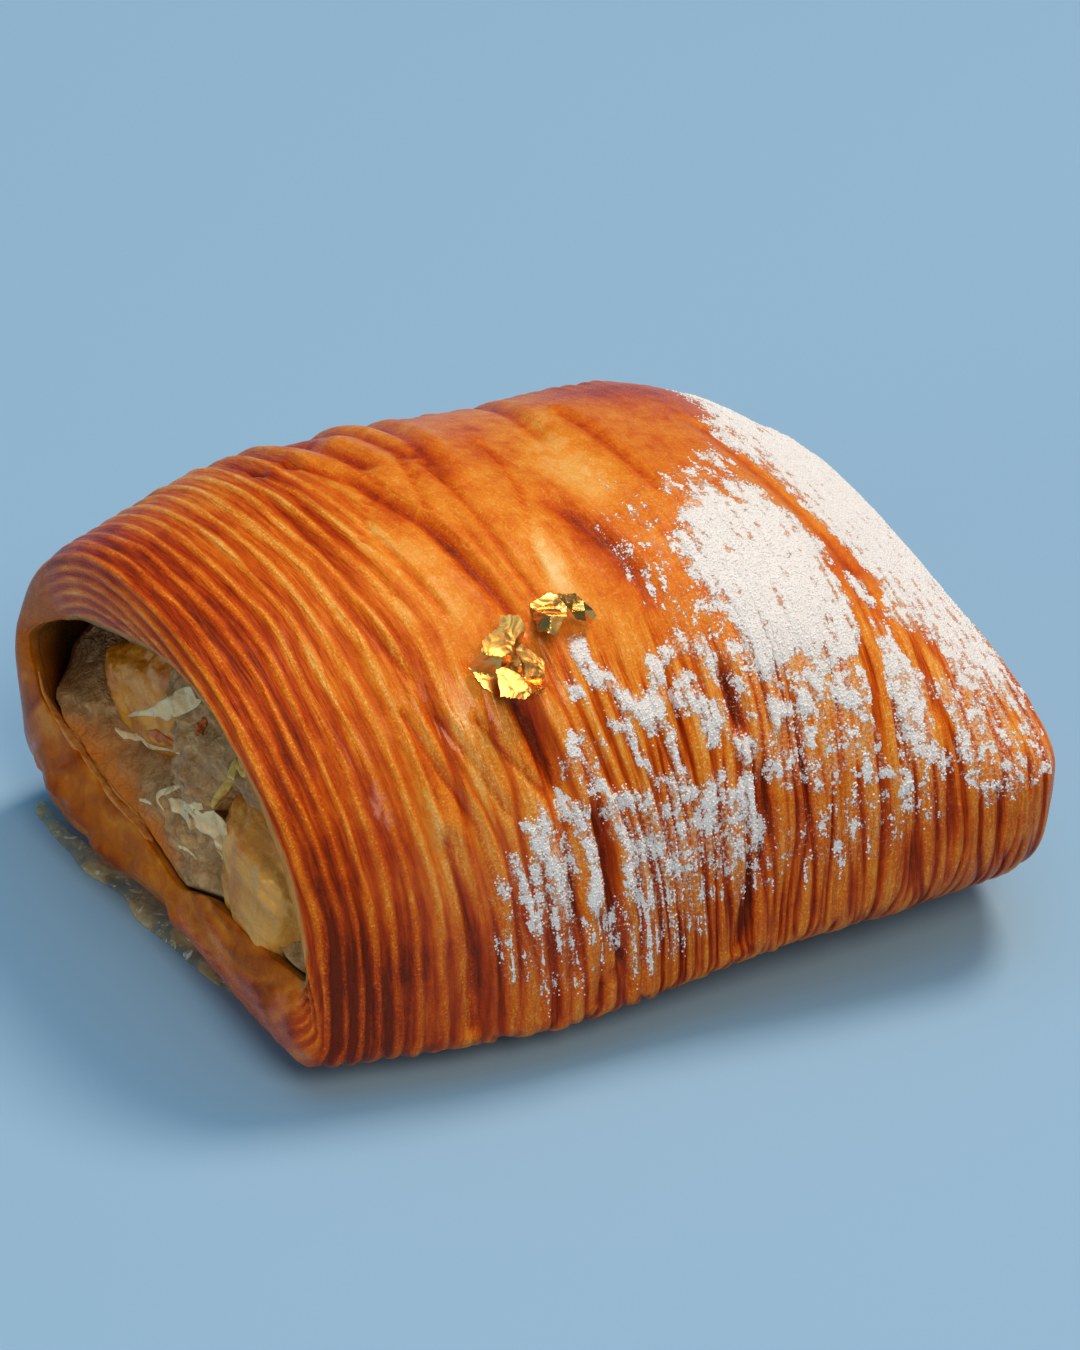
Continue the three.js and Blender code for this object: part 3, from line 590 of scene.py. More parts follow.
def browning(x, degrees):
    """How dark the crust is baked, from 0 for pale to 1 for the darkest. Low on the front it is
    darker still, partly browning and partly painted shade.
    """
    return 0.42 + 0.16 * window(STRETCH["low_front"], degrees) + spots(x, degrees, BROWNING)


def settle(points):
    """Points let down on the floor, with all that would go under it pressed flat."""
    points = points.copy()
    points[..., 2] = np.maximum(points[..., 2] - FLAT_SINK, 0)
    return points


def strand_table():
    """Heights of the strands, 0 on top and about -1 in a valley, in steps along and round."""
    random = np.random.default_rng(26)
    s = np.arange(0, LENGTH + 1, STRAND_STEP["mm"])[:, None]
    degrees = np.arange(0, 361, STRAND_STEP["degrees"])[None, :]
    height = np.zeros((s.size, degrees.size))
    start, number = 0.0, 0
    while start < LENGTH:
        line = start + STRANDS["wander"] * patchy(number, degrees, 1, 20, 27)
        deep = np.clip(0.6 + 0.8 * patchy(number, degrees, 1, 14, 28), 0, 1)
        offset = (s - line) / STRANDS["width"]
        height -= deep * (0.75 * np.exp(-(offset ** 2)) + 0.4 * np.exp(-((offset / 2.6) ** 2)))
        start += random.uniform(*STRANDS["apart"])
        number += 1
    return height


STRAND_HEIGHTS = strand_table()


def strand_height(s, degrees):
    """The table's height at a place on the dough, between its steps too."""
    a, b = np.broadcast_arrays(s / STRAND_STEP["mm"], np.mod(degrees, 360) / STRAND_STEP["degrees"])
    i = np.clip(np.floor(a).astype(int), 0, STRAND_HEIGHTS.shape[0] - 2)
    j = np.clip(np.floor(b).astype(int), 0, STRAND_HEIGHTS.shape[1] - 2)
    f, g = a - i, b - j
    low = STRAND_HEIGHTS[i, j] * (1 - f) + STRAND_HEIGHTS[i + 1, j] * f
    high = STRAND_HEIGHTS[i, j + 1] * (1 - f) + STRAND_HEIGHTS[i + 1, j + 1] * f
    return low * (1 - g) + high * g


def layers(s, x, degrees):
    """How far the dough's layers stand out in mm, and how far up a crest each place is, which
    runs from 0 in a valley to about 1."""
    phase = s / RIDGE_PITCH + 0.12 * patchy(s, degrees, 1.3, 9, 25, wrap_b=40)
    strength, flutes = ridge_strength(x, degrees), flute_depth(x, degrees)
    wave = 0.5 * np.cos(2 * np.pi * phase)

    # Each ridge has a main edge, uneven along its length, and here and there a thin second one
    crest = (0.5 + wave) ** 1.9
    uneven = 1 + 0.6 * patchy(np.rint(phase), degrees, 1, 15, 21, wrap_b=24)
    between = (0.5 - wave) ** 5
    second = np.clip(0.25 + 0.6 * patchy(np.floor(phase), degrees, 1, 12, 29, wrap_b=30), 0, 1)
    edges = uneven * crest + 0.5 * second * between

    fine = patchy(s, degrees, FINE_PLEAT["pitch"], 18, 23, wrap_b=20)
    wide = patchy(s, degrees, 2.7, 20, 24, wrap_b=18)
    strand = strand_height(s, degrees)
    out = (RIDGE_DEPTH * strength * (1 - 0.85 * flutes) * (edges - 0.35)
           + flutes * (STRANDS["depth"] * (strand + 0.4) + 0.16 * wide)
           + FINE_PLEAT["depth"] * (0.1 + 0.8 * strength + flutes) * fine)
    ridged = np.clip((0.7 + 0.3 * uneven) * crest + 0.6 * second * between, 0, 1.2)
    high = ridged * (1 - flutes) + flutes * np.clip(1.1 + 1.7 * strand, 0, 1)
    return out, high


def skin(s, degrees):
    """The outer skin in mm, and the values that its finish reads. Thick sugar lies lumpy on it
    and softens the layers' edges."""
    x = ridge_place(s, degrees) + set_back(s, degrees) + wobble(s, degrees)
    edges, crest = layers(s, x, degrees)
    cover = sugar_cover(x, degrees)
    thick = smooth(0.55, 1.0, cover)
    lumps = patchy(x, degrees, 1.1, 2.6, 41) + 0.6 * patchy(x, degrees, 0.6, 1.3, 42)
    folds, dark = folds_at(x, degrees)
    panel = panel_share(x, degrees)
    out = edges * (1 - 0.4 * thick) + (SUGAR_THICKNESS + SUGAR_LUMPS * lumps) * thick - folds
    points = settle(body_point(x, degrees, end_tuck(s, degrees) - out))
    values = {
        "lay": np.broadcast_to(s, x.shape),
        "crest": crest * (1 - panel) + 0.6 * panel,
        # The folds' painted shade goes into the brown.
        "brown": browning(x, degrees) + 0.42 * np.clip(dark, 0, 0.8),
        "sugar": cover * (0.75 + 0.25 * crest),
        "cut": np.zeros(x.shape),
        "inner": np.zeros(x.shape),
        "glaze": np.clip(spots(x, degrees, GLAZE), 0, 1),
        "pink": np.clip(spots(x, degrees, PAINTED_SHEEN), 0, 1),
        "panel": panel,
        "amber": np.zeros(x.shape),
    }
    return points, values


# Meshes

def grid_faces(rows, columns, close_rows):
    """Quads of a grid whose columns run right round, as index arrays."""
    row = np.arange(rows if close_rows else rows - 1)[:, None]
    column = np.arange(columns)[None, :]
    beside = (column + 1) % columns
    below = (row + 1) % rows
    corners = [row * columns + column, below * columns + column,
               below * columns + beside, row * columns + beside]
    shape = (len(row), columns)
    return np.stack([np.broadcast_to(corner, shape) for corner in corners], -1).reshape(-1, 4)


def make_piece(name, points, faces, finish, values=None, smooth_faces=True):
    """A mesh object from points in mm, with its faces turned outwards."""
    mesh = bpy.data.meshes.new(name)
    mesh.from_pydata((np.asarray(points).reshape(-1, 3) * MM).tolist(), [], list(map(list, faces)))
    shape = bmesh.new()
    shape.from_mesh(mesh)
    bmesh.ops.recalc_face_normals(shape, faces=shape.faces)
    shape.to_mesh(mesh)
    shape.free()
    for key, numbers in (values or {}).items():
        attribute = mesh.attributes.new(key, "FLOAT", "POINT")
        attribute.data.foreach_set("value", np.ravel(numbers).astype(np.float32))
    mesh.materials.append(finish)
    mesh.polygons.foreach_set("use_smooth", [smooth_faces] * len(mesh.polygons))
    piece = bpy.data.objects.new(name, mesh)
    bpy.context.scene.collection.objects.link(piece)
    return piece


def rings_with_caps(rings):
    """Points and faces of a closed form made of rings, with a pole in each end."""
    count = len(rings[0])
    body = np.concatenate(rings)
    poles = np.array([np.mean(rings[0], axis=0), np.mean(rings[-1], axis=0)])
    faces = grid_faces(len(rings), count, False).tolist()
    first, last = len(body), len(body) + 1
    start = (len(rings) - 1) * count
    for k in range(count):
        after = (k + 1) % count
        faces.append([first, k, after])
        faces.append([last, start + after, start + k])
    return np.concatenate([body, poles]), faces


def dress(piece, slot, *nodes):
    """Give a piece its body, and hide the solids that it stands for. The slot is not used."""
    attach(piece, "root")
    if nodes:
        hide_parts(*nodes)


# Node trees

class Link:
    """One output in a node tree. The usual operators on it add Math nodes."""

    def __init__(self, nodes, socket):
        self.nodes = nodes
        self.socket = socket

    def math(self, operation, first, second):
        return self.nodes.add("ShaderNodeMath", {"operation": operation}, {0: first, 1: second})

    def __add__(self, other):
        return self.math("ADD", self, other)

    def __radd__(self, other):
        return self.math("ADD", other, self)

    def __sub__(self, other):
        return self.math("SUBTRACT", self, other)

    def __rsub__(self, other):
        return self.math("SUBTRACT", other, self)

    def __mul__(self, other):
        return self.math("MULTIPLY", self, other)

    def __rmul__(self, other):
        return self.math("MULTIPLY", other, self)


class Nodes:
    """A node tree under construction."""

    def __init__(self, tree):
        self.tree = tree

    def add(self, kind, settings=None, inputs=None, output=0):
        """A new node with its own settings and its inputs, by name or number. Gives one output."""
        node = self.tree.nodes.new(kind)
        for name, value in (settings or {}).items():
            setattr(node, name, value)
        for key, value in (inputs or {}).items():
            if isinstance(value, Link):
                self.tree.links.new(value.socket, node.inputs[key])
            else:
                node.inputs[key].default_value = value
        return Link(self, node.outputs[output]) if len(node.outputs) else None

    def attribute(self, name):
        return self.add("ShaderNodeAttribute", {"attribute_name": name}, output="Fac")

    def in_mm(self, metres):
        inputs = {0: metres, 1: (1 / MM, 1 / MM, 1 / MM)}
        return self.add("ShaderNodeVectorMath", {"operation": "MULTIPLY"}, inputs)

    def place(self):
        """Object coordinates in millimetres."""
        return self.in_mm(self.add("ShaderNodeTexCoord", output="Object"))

    def noise(self, vector, scale, detail=2.0, roughness=0.5, distortion=0.0):
        inputs = {"Vector": vector, "Scale": scale, "Detail": detail, "Roughness": roughness,
                  "Distortion": distortion}
        return self.add("ShaderNodeTexNoise", {}, inputs)

    def ramp(self, value, *stops):
        """A colour that runs through stops of a position and what the screen shows there."""
        link = self.add("ShaderNodeValToRGB", {}, {0: value})
        elements = link.socket.node.color_ramp.elements
        while len(elements) < len(stops):
            elements.new(1.0)
        for element, (position, *seen) in zip(elements, stops):
            element.position = position
            element.color = colour(*seen)
        return link

    def step(self, value, low, high):
        """0 below a low value and 1 above a high one, with a soft rise between them."""
        inputs = {"Value": value, "From Min": low, "From Max": high}
        return self.add("ShaderNodeMapRange", {"interpolation_type": "SMOOTHSTEP"}, inputs)

    def blend(self, factor, first, second):
        """A mix of two colours, whose inputs are the node's sockets 6 and 7 and its output 2."""
        return self.add("ShaderNodeMix", {"data_type": "RGBA"}, {0: factor, 6: first, 7: second}, 2)

    def bump(self, height_mm):
        return self.add("ShaderNodeBump", {}, {"Distance": MM, "Height": height_mm})


def colour(red, green, blue):
    """A linear colour from its values as seen on a screen, 0 to 255."""
    seen = np.array([red, green, blue]) / 255
    linear = np.where(seen <= 0.04045, seen / 12.92, ((seen + 0.055) / 1.055) ** 2.4)
    return (*[float(part) for part in linear], 1.0)


def new_finish(name):
    material = bpy.data.materials.new(name)
    material.use_nodes = True
    material.node_tree.nodes.clear()
    return material, Nodes(material.node_tree)


def surface(nodes, inputs):
    """One shader with the inputs given, and the material's output."""
    shader = nodes.add("ShaderNodeBsdfPrincipled", {}, inputs)
    nodes.add("ShaderNodeOutputMaterial", {}, {"Surface": shader})


def sugar_mask(nodes, cover, place, layered):
    """Where powdered sugar hides the crust: clumps on top, and streaks along the layers low on the
    front. The grains are scattered by the same mask."""
    clumps = nodes.noise(place, 0.62, 3.0, 0.6)
    grains = nodes.noise(place, 2.4, 3.0, 0.7)
    streaks = nodes.noise(layered, 1.9, 2.0, 0.6)
    height = nodes.add("ShaderNodeSeparateXYZ", {}, {0: place}, "Z")
    low = 1 - nodes.step(height, 16.0, 32.0)
    uneven = ((clumps - 0.5) * (4.4 - 2.2 * low) + (grains - 0.5) * 2.0
              + (streaks - 0.5) * (0.6 + 3.2 * low))
    ragged = cover + uneven * (1.22 - cover) * nodes.step(cover, 0.02, 0.3)
    return nodes.step(ragged, 0.54, 0.64)


def along_layers(nodes, lay, place):
    """A place in which patterns are drawn out along the edges of the dough's layers, where they
    change this much more slowly than across them."""
    slow = 0.09
    y = nodes.add("ShaderNodeSeparateXYZ", {}, {0: place}, "Y")
    z = nodes.add("ShaderNodeSeparateXYZ", {}, {0: place}, "Z")
    return nodes.add("ShaderNodeCombineXYZ", {}, {0: lay, 1: y * slow, 2: z * slow})


def crust_look(nodes):
    """The values and noises that the crust's colour and relief are made of."""
    place = nodes.place()
    layered = along_layers(nodes, nodes.attribute("lay"), place)
    names = ("crest", "brown", "panel", "cut", "inner", "amber", "sugar", "glaze", "pink")
    look = SimpleNamespace(**{name: nodes.attribute(name) for name in names})
    look.drawn_out = 1 - look.panel * 0.7
    look.fibre = nodes.noise(layered, 2.1, 4.0, 0.6)
    look.strands = nodes.noise(layered, 0.8, 2.0, 0.5)
    look.thread = nodes.step(nodes.noise(layered, 2.7, 2.0, 0.5), 0.4, 0.6)
    look.blotch = nodes.noise(place, 0.12, 4.0, 0.6)
    look.mottle = nodes.noise(place, 0.45, 3.0, 0.6, 0.5)
    look.grain = nodes.noise(place, 3.4, 3.0, 0.65)
    # Pale speckles on the layers' edges: painted sparkle, a painted highlight.
    look.specks = nodes.step(nodes.noise(place, 3.2, 2.0, 0.6), 0.54, 0.66) * look.crest
    look.mask = sugar_mask(nodes, look.sugar, place, layered)
    look.powder = nodes.noise(place, 7.0, 1.0)
    dust = nodes.noise(place, 2.6, 2.0, 0.7)
    look.dusty = (nodes.step(look.sugar + (dust - 0.5) * 2.4, 0.35, 0.7)
                  * nodes.step(look.sugar, 0.05, 0.3) * 0.6)
    return look


def baked_colour(nodes, look):
    """Pale on the layers' edges, and darker between them and where the crust is baked more."""
    streaked = (0.5 - look.thread) * 0.06 + (look.fibre - 0.5) * 0.42 + (look.strands - 0.5) * 0.34
    brown = (look.brown + (1 - look.crest) * 0.32 - 0.05 - look.specks * 0.2
             + (look.blotch - 0.5) * 0.4 + (look.mottle - 0.5) * (look.panel * 0.3 + 0.12)
             + streaked * look.drawn_out
             + (look.grain - 0.5) * (look.crest * 0.4 + 0.1) * look.drawn_out)
    return nodes.ramp(brown, (0.0, 250, 210, 148), (0.2, 242, 178, 92), (0.4, 234, 138, 36),
                      (0.6, 212, 94, 12), (0.8, 174, 55, 4), (1.0, 108, 30, 3))


def bare_colour(nodes, look):
    """The crust without its sugar: baked skin, cut layers, wet lip, lining and a pinkish painted
    highlight.
    """
    cut_layers = nodes.blend(look.fibre, colour(160, 96, 40), colour(222, 172, 106))
    amber = nodes.ramp(look.brown * 0.6 + look.mottle * 0.45,
                       (0.3, 220, 140, 30), (0.5, 190, 98, 6), (0.75, 138, 54, 0))
    patches = nodes.step(look.blotch, 0.35, 0.65)
    lining = nodes.blend(patches, colour(132, 70, 14), colour(170, 100, 32))
    # Deep in the bore the lining turns deep brown: painted shade.
    lining = nodes.blend(nodes.step(look.inner, 1.0, 2.0), lining, colour(64, 34, 6))
    bare = nodes.blend(nodes.step(look.cut, 0.1, 0.6), baked_colour(nodes, look), cut_layers)
    bare = nodes.blend(look.amber, bare, amber)
    bare = nodes.blend(look.inner, bare, lining)
    # A pinkish patch on the glazed front: painted highlight.
    pink = nodes.step(look.pink + (look.mottle - 0.5) * 1.2, 0.35, 0.6) * 0.6
    return nodes.blend(pink, bare, colour(236, 150, 122))


def crust_finish():
    """Glossy skin outside and nearly matt dough on the lips, mixed by the lips' own values."""
    material, nodes = new_finish("baked_crust")
    look = crust_look(nodes)
    white = nodes.blend(look.grain, colour(237, 233, 232), colour(245, 242, 241))
    dusted = nodes.blend(look.dusty, bare_colour(nodes, look), colour(244, 206, 180))
    relief = ((look.fibre * 0.26 + look.strands * 0.14 + look.thread * 0.08) * look.drawn_out
              + look.mottle * 0.12 + look.grain * 0.13 + look.dusty * 0.1 + look.mask * 0.12
              + look.powder * look.mask * 0.04)
    shared = {
        "Base Color": nodes.blend(look.mask, dusted, white),
        "Roughness": 0.31 + look.mask * 0.54 + (look.grain - 0.5) * 0.5 - look.glaze * 0.16,
        "Normal": nodes.bump(relief),
    }
    outside = nodes.add("ShaderNodeBsdfPrincipled", {}, {
        **shared,
        "Coat Weight": (1 - look.mask) * (look.glaze * 0.5 + 0.03),
        "Coat Roughness": 0.13,
        "Specular IOR Level": 0.22,
        "Specular Tint": (1.0, 0.70, 0.40, 1.0),
    })
    lip = nodes.add("ShaderNodeBsdfPrincipled", {}, {
        **shared,
        "Specular IOR Level": 0.08,
        "Specular Tint": (1.0, 0.60, 0.30, 1.0),
    })
    on_lip = nodes.step(look.amber + look.inner + look.cut, 0.2, 0.8)
    both = nodes.add("ShaderNodeMixShader", {}, {0: on_lip, 1: outside, 2: lip})
    nodes.add("ShaderNodeOutputMaterial", {}, {"Surface": both})
    return material


def sugar_finish():
    material, nodes = new_finish("powdered_sugar")
    grain = nodes.noise(nodes.place(), 5.0, 2.0)
    surface(nodes, {
        "Base Color": nodes.blend(grain, colour(239, 236, 235), colour(247, 245, 243)),
        "Roughness": 0.75 + grain * 0.2,
        "Normal": nodes.bump(grain * 0.03),
    })
    return material


def cream_finish():
    material, nodes = new_finish("cooked_cream")
    place = nodes.place()
    smear = nodes.noise(place, 0.16, 4.0, 0.6, 1.2)
    fine = nodes.noise(place, 0.9, 3.0, 0.6, 0.6)
    tone = nodes.ramp(smear * 0.6 + fine * 0.4,
                      (0.3, 132, 88, 46), (0.5, 178, 134, 86), (0.7, 226, 188, 134))
    tone = nodes.blend(nodes.attribute("edge"), tone, colour(204, 112, 22))
    # The shade attribute paints the hollow's shade and the shade at the face's back into the
    # colour: painted shade.
    surface(nodes, {
        "Base Color": nodes.blend(nodes.attribute("shade"), tone, colour(70, 36, 6)),
        "Roughness": 0.24 + fine * 0.25,
        "Normal": nodes.bump(fine * 0.5 + smear * 0.5),
        "Subsurface Weight": 0.2,
        "Subsurface Scale": 0.003,
        "Specular IOR Level": 0.6,
        "Specular Tint": (1.0, 0.72, 0.46, 1.0),
    })
    return material


def smear_finish(name, deep, pale):
    material, nodes = new_finish(name)
    fine = nodes.noise(nodes.place(), 0.8, 3.0, 0.6, 0.4)
    surface(nodes, {
        "Base Color": nodes.blend(nodes.step(fine, 0.3, 0.7), deep, pale),
        "Roughness": 0.26 + fine * 0.2,
        "Normal": nodes.bump(fine * 0.3),
        "Subsurface Weight": 0.3,
        "Subsurface Scale": 0.002,
        "Specular Tint": (1.0, 0.8, 0.6, 1.0),
    })
    return material


def pear_finish(name, pale, deep, baked):
    material, nodes = new_finish(name)
    place = nodes.place()
    slow = nodes.noise(place, 0.14, 3.0, 0.55, 0.5)
    fine = nodes.noise(place, 1.1, 3.0, 0.6)
    flesh = nodes.blend(nodes.step(slow, 0.35, 0.65), pale, deep)
    surface(nodes, {
        "Base Color": nodes.blend(nodes.step(fine, 0.5, 0.8) * baked, flesh, colour(176, 100, 22)),
        "Roughness": 0.16 + fine * 0.2,
        "Normal": nodes.bump(fine * 0.22 + slow * 0.3),
        "Subsurface Weight": 0.35,
        "Subsurface Scale": 0.004,
        "Specular IOR Level": 0.75,
        "Specular Tint": (1.0, 0.74, 0.46, 1.0),
    })
    return material


def gold_finish():
    material, nodes = new_finish("gold_foil")
    wrinkle = nodes.noise(nodes.place(), 0.4, 2.0, 0.5, 0.6)
    surface(nodes, {
        "Base Color": nodes.blend(wrinkle, colour(238, 146, 58), colour(255, 204, 116)),
        "Roughness": 0.16 + wrinkle * 0.16,
        "Metallic": 1.0,
        "Normal": nodes.bump(wrinkle * 0.2),
    })
    return material


def syrup_finish():
    material, nodes = new_finish("clear_syrup")
    place = nodes.place()
    ripple = nodes.noise(place, 0.5, 2.0, 0.5)
    # Bright white streaks in the pool: foam, and painted highlights.
    foam_and_glints = nodes.step(nodes.noise(place, 0.45, 4.0, 0.65, 1.5), 0.56, 0.66)
    cloudy = nodes.step(nodes.noise(place, 0.22, 3.0, 0.6), 0.35, 0.65)
    clear = nodes.blend(cloudy, colour(150, 168, 150), colour(226, 206, 148))
    surface(nodes, {
        "Base Color": nodes.blend(foam_and_glints, clear, colour(232, 238, 232)),
        "Roughness": 0.04 + ripple * 0.08,
        "Normal": nodes.bump(ripple * 0.8),
        "Alpha": 0.24 + cloudy * 0.3 + foam_and_glints * 0.4,
        "Specular IOR Level": 1.0,
        "IOR": 1.4,
    })
    return material


def floor_finish():
    material, nodes = new_finish("pale_floor")
    place = nodes.place()
    cloud = nodes.noise(place, 0.006, 2.0)
    surface(nodes, {
        "Base Color": nodes.blend(cloud, colour(139, 179, 213), colour(143, 182, 215)),
        "Roughness": 0.8 + cloud * 0.1,
        "Normal": nodes.bump(nodes.noise(place, 1.5, 2.0) * 0.01),
    })
    return material


# The crust

def skin_angles():
    """Angles round the roll, close together on the front and top and wider apart elsewhere."""
    parts = [np.linspace(*steps, endpoint=False) for steps in STEPS_ROUND]
    return np.mod(np.concatenate(parts), 360)


def left_edge_point(x, degrees, gap=0.0):
    """The left mouth's inner edge carried along to x, drawn in towards its middle by a gap."""
    table = np.array(LEFT_EDGE)
    y = np.interp(np.mod(degrees, 360), table[:, 0], table[:, 1])
    z = np.interp(np.mod(degrees, 360), table[:, 0], table[:, 2]) - CORE_HEIGHT
    keep = 1 - gap / np.hypot(y, z)
    x, y, z = np.broadcast_arrays(x, y * keep, z * keep + CORE_HEIGHT)
    return np.stack([LEFT_END + x + LEFT_END_SKEW * (1 - x / LENGTH) * y, y, z], axis=-1)


def lip_parts(degrees, on_left):
    """How far each angle belongs to the left lip's flap, its seeping cream, its wet part and its
    rim, and 1 in the wet part's left end. The first four are 0 in the right mouth."""
    turned = np.where(degrees < 100, degrees + 360, degrees)
    parts = [on_left * window(STRETCH[name], turned) for name in ("flap", "seep", "wet_lip", "rim")]
    return *parts, 1 - smooth(*SWELL["goes_out"], turned)


def lip_rows(edge, inner, outward, degrees, count):
    """The rounded lip of a mouth, from the skin's edge to its inner edge, and its values."""
    on_left = 1.0 if outward < 0 else 0.0
    flap, seep, wet, rim, left_end = lip_parts(degrees, on_left)
    plain = flap + seep + wet + rim
    share = np.linspace(0, 1, count + 1)[1:, None]
    width = np.linalg.norm(inner - edge, axis=-1)
    across = share * width
    crest = (0.5 + 0.5 * np.cos(2 * np.pi * across / LIP["pitch"])) ** 1.4
    lumps = patchy(degrees, across, 9, 4.5, 35) + 0.5 * patchy(degrees, across, 4, 2.2, 36)
    lines = patchy(degrees, across, 30, 0.8, 37) * flap

    # The lip rolls over, shows the layers' edges where it is dry, and swells where it is wet
    rows = edge + (inner - edge) * share[..., None]
    wet_swell = SWELL["wet"] + (SWELL["wet_left"] + SWELL["lumps"] * lumps) * left_end
    swell = SWELL["flap"] * flap + wet_swell * (wet + seep) + SWELL["rim"] * rim
    rows[..., 0] += outward * (LIP["bulge"] * np.sin(np.pi * share * LIP["roll"])
                               + LIP["depth"] * (1 - plain) * (crest - 0.35)
                               + swell * np.sin(np.pi * share ** 0.7) ** 0.8
                               + SWELL["lines"] * lines)
    values = {
        "crest": crest * (1 - plain) + 0.6 * plain,
        "brown": (0.38 + 0.14 * on_left + 0.16 * flap * (1 - share) - 0.1 * seep
                  + (0.07 + 0.24 * wet) * lumps + 0.24 * lines),
        "cut": smooth(1.3, 0.4, width - across) * smooth(40, 60, degrees) * (1 - plain),
        "inner": smooth(0.9, 1, share) * (1 - plain),
        "glaze": 0.3 * flap + 0.8 * seep + 0.9 * wet + 0.3 * rim,
        "panel": plain,
        "pink": 0.0,
        "amber": np.clip(wet + seep + rim + flap * smooth(0.45, 0.8, share + 0.2 * lumps), 0, 1),
    }
    return rows, {key: np.broadcast_to(value, across.shape) for key, value in values.items()}


def bore_point(x, degrees, gap=0.0):
    """Points of the wrap's inside in mm, which narrows at both mouths to their inner edges."""
    right = around_pairs(MOUTH_RIGHT, degrees)
    wall = WALL + (right - WALL) * smooth(BORE["right"], LENGTH, x)
    point = body_point(x, degrees, wall + gap)
    at_lip = np.asarray(1 - smooth(0, BORE["left"], x))[..., None]
    return point + (left_edge_point(x, degrees, gap) - point) * at_lip


def bore_rows(degrees):
    """The wall inside, from the right mouth to the left, finely divided only where it shows."""
    rows = []
    for x in np.concatenate([np.linspace(*steps) for steps in STEPS_IN_BORE]):
        ripple = 0.35 * patchy(x, degrees, 2.6, 12, 31, wrap_b=30) * smooth(0.5, 4, x)
        rows.append(bore_point(x, degrees, ripple))
    return rows


def lining_values(inside):
    """What the finish reads on the wall inside, which is darker away from the mouths: painted
    shade.
    """
    depth = np.array([row[:, 0].mean() for row in inside])[:, None] - LEFT_END
    lined = {"crest": 1.0, "brown": 0.4, "panel": 1.0, "cut": 0.0, "amber": 0.0, "sugar": 0.0,
             "glaze": 0.3, "pink": 0.0, "lay": 50.0,
             "inner": 1 + smooth(1.5, 6, np.minimum(depth, LENGTH - depth))}
    return {key: np.broadcast_to(value, np.shape(inside)[:2]) for key, value in lined.items()}


def make_crust(finish):
    """The wrap as one closed grid: the skin, the right lip, the bore and the left lip."""
    degrees = skin_angles()
    s = np.linspace(0, LENGTH, RIDGES * ROWS_PER_RIDGE + 1)[:, None]
    points, on_skin = skin(s, degrees[None, :])
    right_edge, left_edge = bore_point(LENGTH, degrees), left_edge_point(0, degrees)
    right, on_right = lip_rows(points[-1], right_edge, 1, degrees, LIP["right_rows"])
    left, on_left = lip_rows(points[0], left_edge, -1, degrees, LIP["left_rows"])
    inside = bore_rows(degrees)
    in_bore = lining_values(inside)

    # Sugar thins out over the right lip, and the layers' patterns go on over the left one
    on_right["sugar"] = on_skin["sugar"][-1] * np.linspace(1, 0, len(right))[:, None]
    on_right["lay"] = np.full(right.shape[:2], LENGTH)
    on_left["sugar"] = np.zeros(left.shape[:2])
    on_left["lay"] = np.zeros(left.shape[:2]) - np.linspace(0, 0.25 * len(left), len(left))[:, None]

    rows = np.concatenate([points, right, inside, left[::-1]])
    values = {key: np.concatenate([on_skin[key], on_right[key], in_bore[key], on_left[key][::-1]])
              for key in on_skin}
    return make_piece("crust_wrap", rows, grid_faces(len(rows), len(degrees), True), finish, values)


# Powdered sugar, scattered over the crust

def sugar_tree(finish):
    """Geometry nodes that scatter small round grains where sugar covers the crust."""
    tree = bpy.data.node_groups.new("sugar_grains", "GeometryNodeTree")
    sockets = {}
    for name, kind in [("Crust", "Geometry"), ("Grains per mm2", "Float"), ("Radius mm", "Float"),
                       ("From mm", "Float"), ("To mm", "Float"), ("Seed", "Int")]:
        socket = tree.interface.new_socket(name, in_out="INPUT", socket_type=f"NodeSocket{kind}")
        sockets[name] = socket.identifier
    tree.interface.new_socket("Grains", in_out="OUTPUT", socket_type="NodeSocketGeometry")
    nodes = Nodes(tree)
    given = {name: nodes.add("NodeGroupInput", output=i) for i, name in enumerate(sockets)}
    place = nodes.in_mm(nodes.add("GeometryNodeInputPosition"))
    cover, lay = [
        nodes.add("GeometryNodeInputNamedAttribute", {"data_type": "FLOAT"}, {"Name": name})
        for name in ("sugar", "lay")]
    layered = along_layers(nodes, lay, place)
    x = nodes.add("ShaderNodeSeparateXYZ", {}, {0: place}, "X")
    in_band = x.math("GREATER_THAN", x, given["From mm"]) * x.math("LESS_THAN", x, given["To mm"])
    density = (sugar_mask(nodes, cover, place, layered) * given["Grains per mm2"] * (1 / MM ** 2)
               * in_band)
    scatter = nodes.add("GeometryNodeDistributePointsOnFaces", {},
                        {"Mesh": given["Crust"], "Density": density, "Seed": given["Seed"]})
    grain = nodes.add("GeometryNodeMeshIcoSphere", {}, {"Radius": given["Radius mm"] * MM,
                                                        "Subdivisions": 1})
    smallest, largest = GRAINS["sizes"]
    size = nodes.add("FunctionNodeRandomValue", {"data_type": "FLOAT"},
                     {2: smallest, 3: largest, "Seed": GRAINS["size_seed"]}, 1)
    turn = nodes.add("FunctionNodeRandomValue", {"data_type": "FLOAT_VECTOR"},
                     {0: (0, 0, 0), 1: (GRAINS["turn"],) * 3, "Seed": GRAINS["turn_seed"]})
    placed = nodes.add("GeometryNodeInstanceOnPoints", {}, {
        "Points": scatter, "Instance": grain, "Rotation": turn, "Scale": size})
    real = nodes.add("GeometryNodeRealizeInstances", {}, {0: placed})
    dressed = nodes.add("GeometryNodeSetMaterial", {}, {"Geometry": real, "Material": finish})
    nodes.add("NodeGroupOutput", {}, {0: dressed})
    return tree, sockets


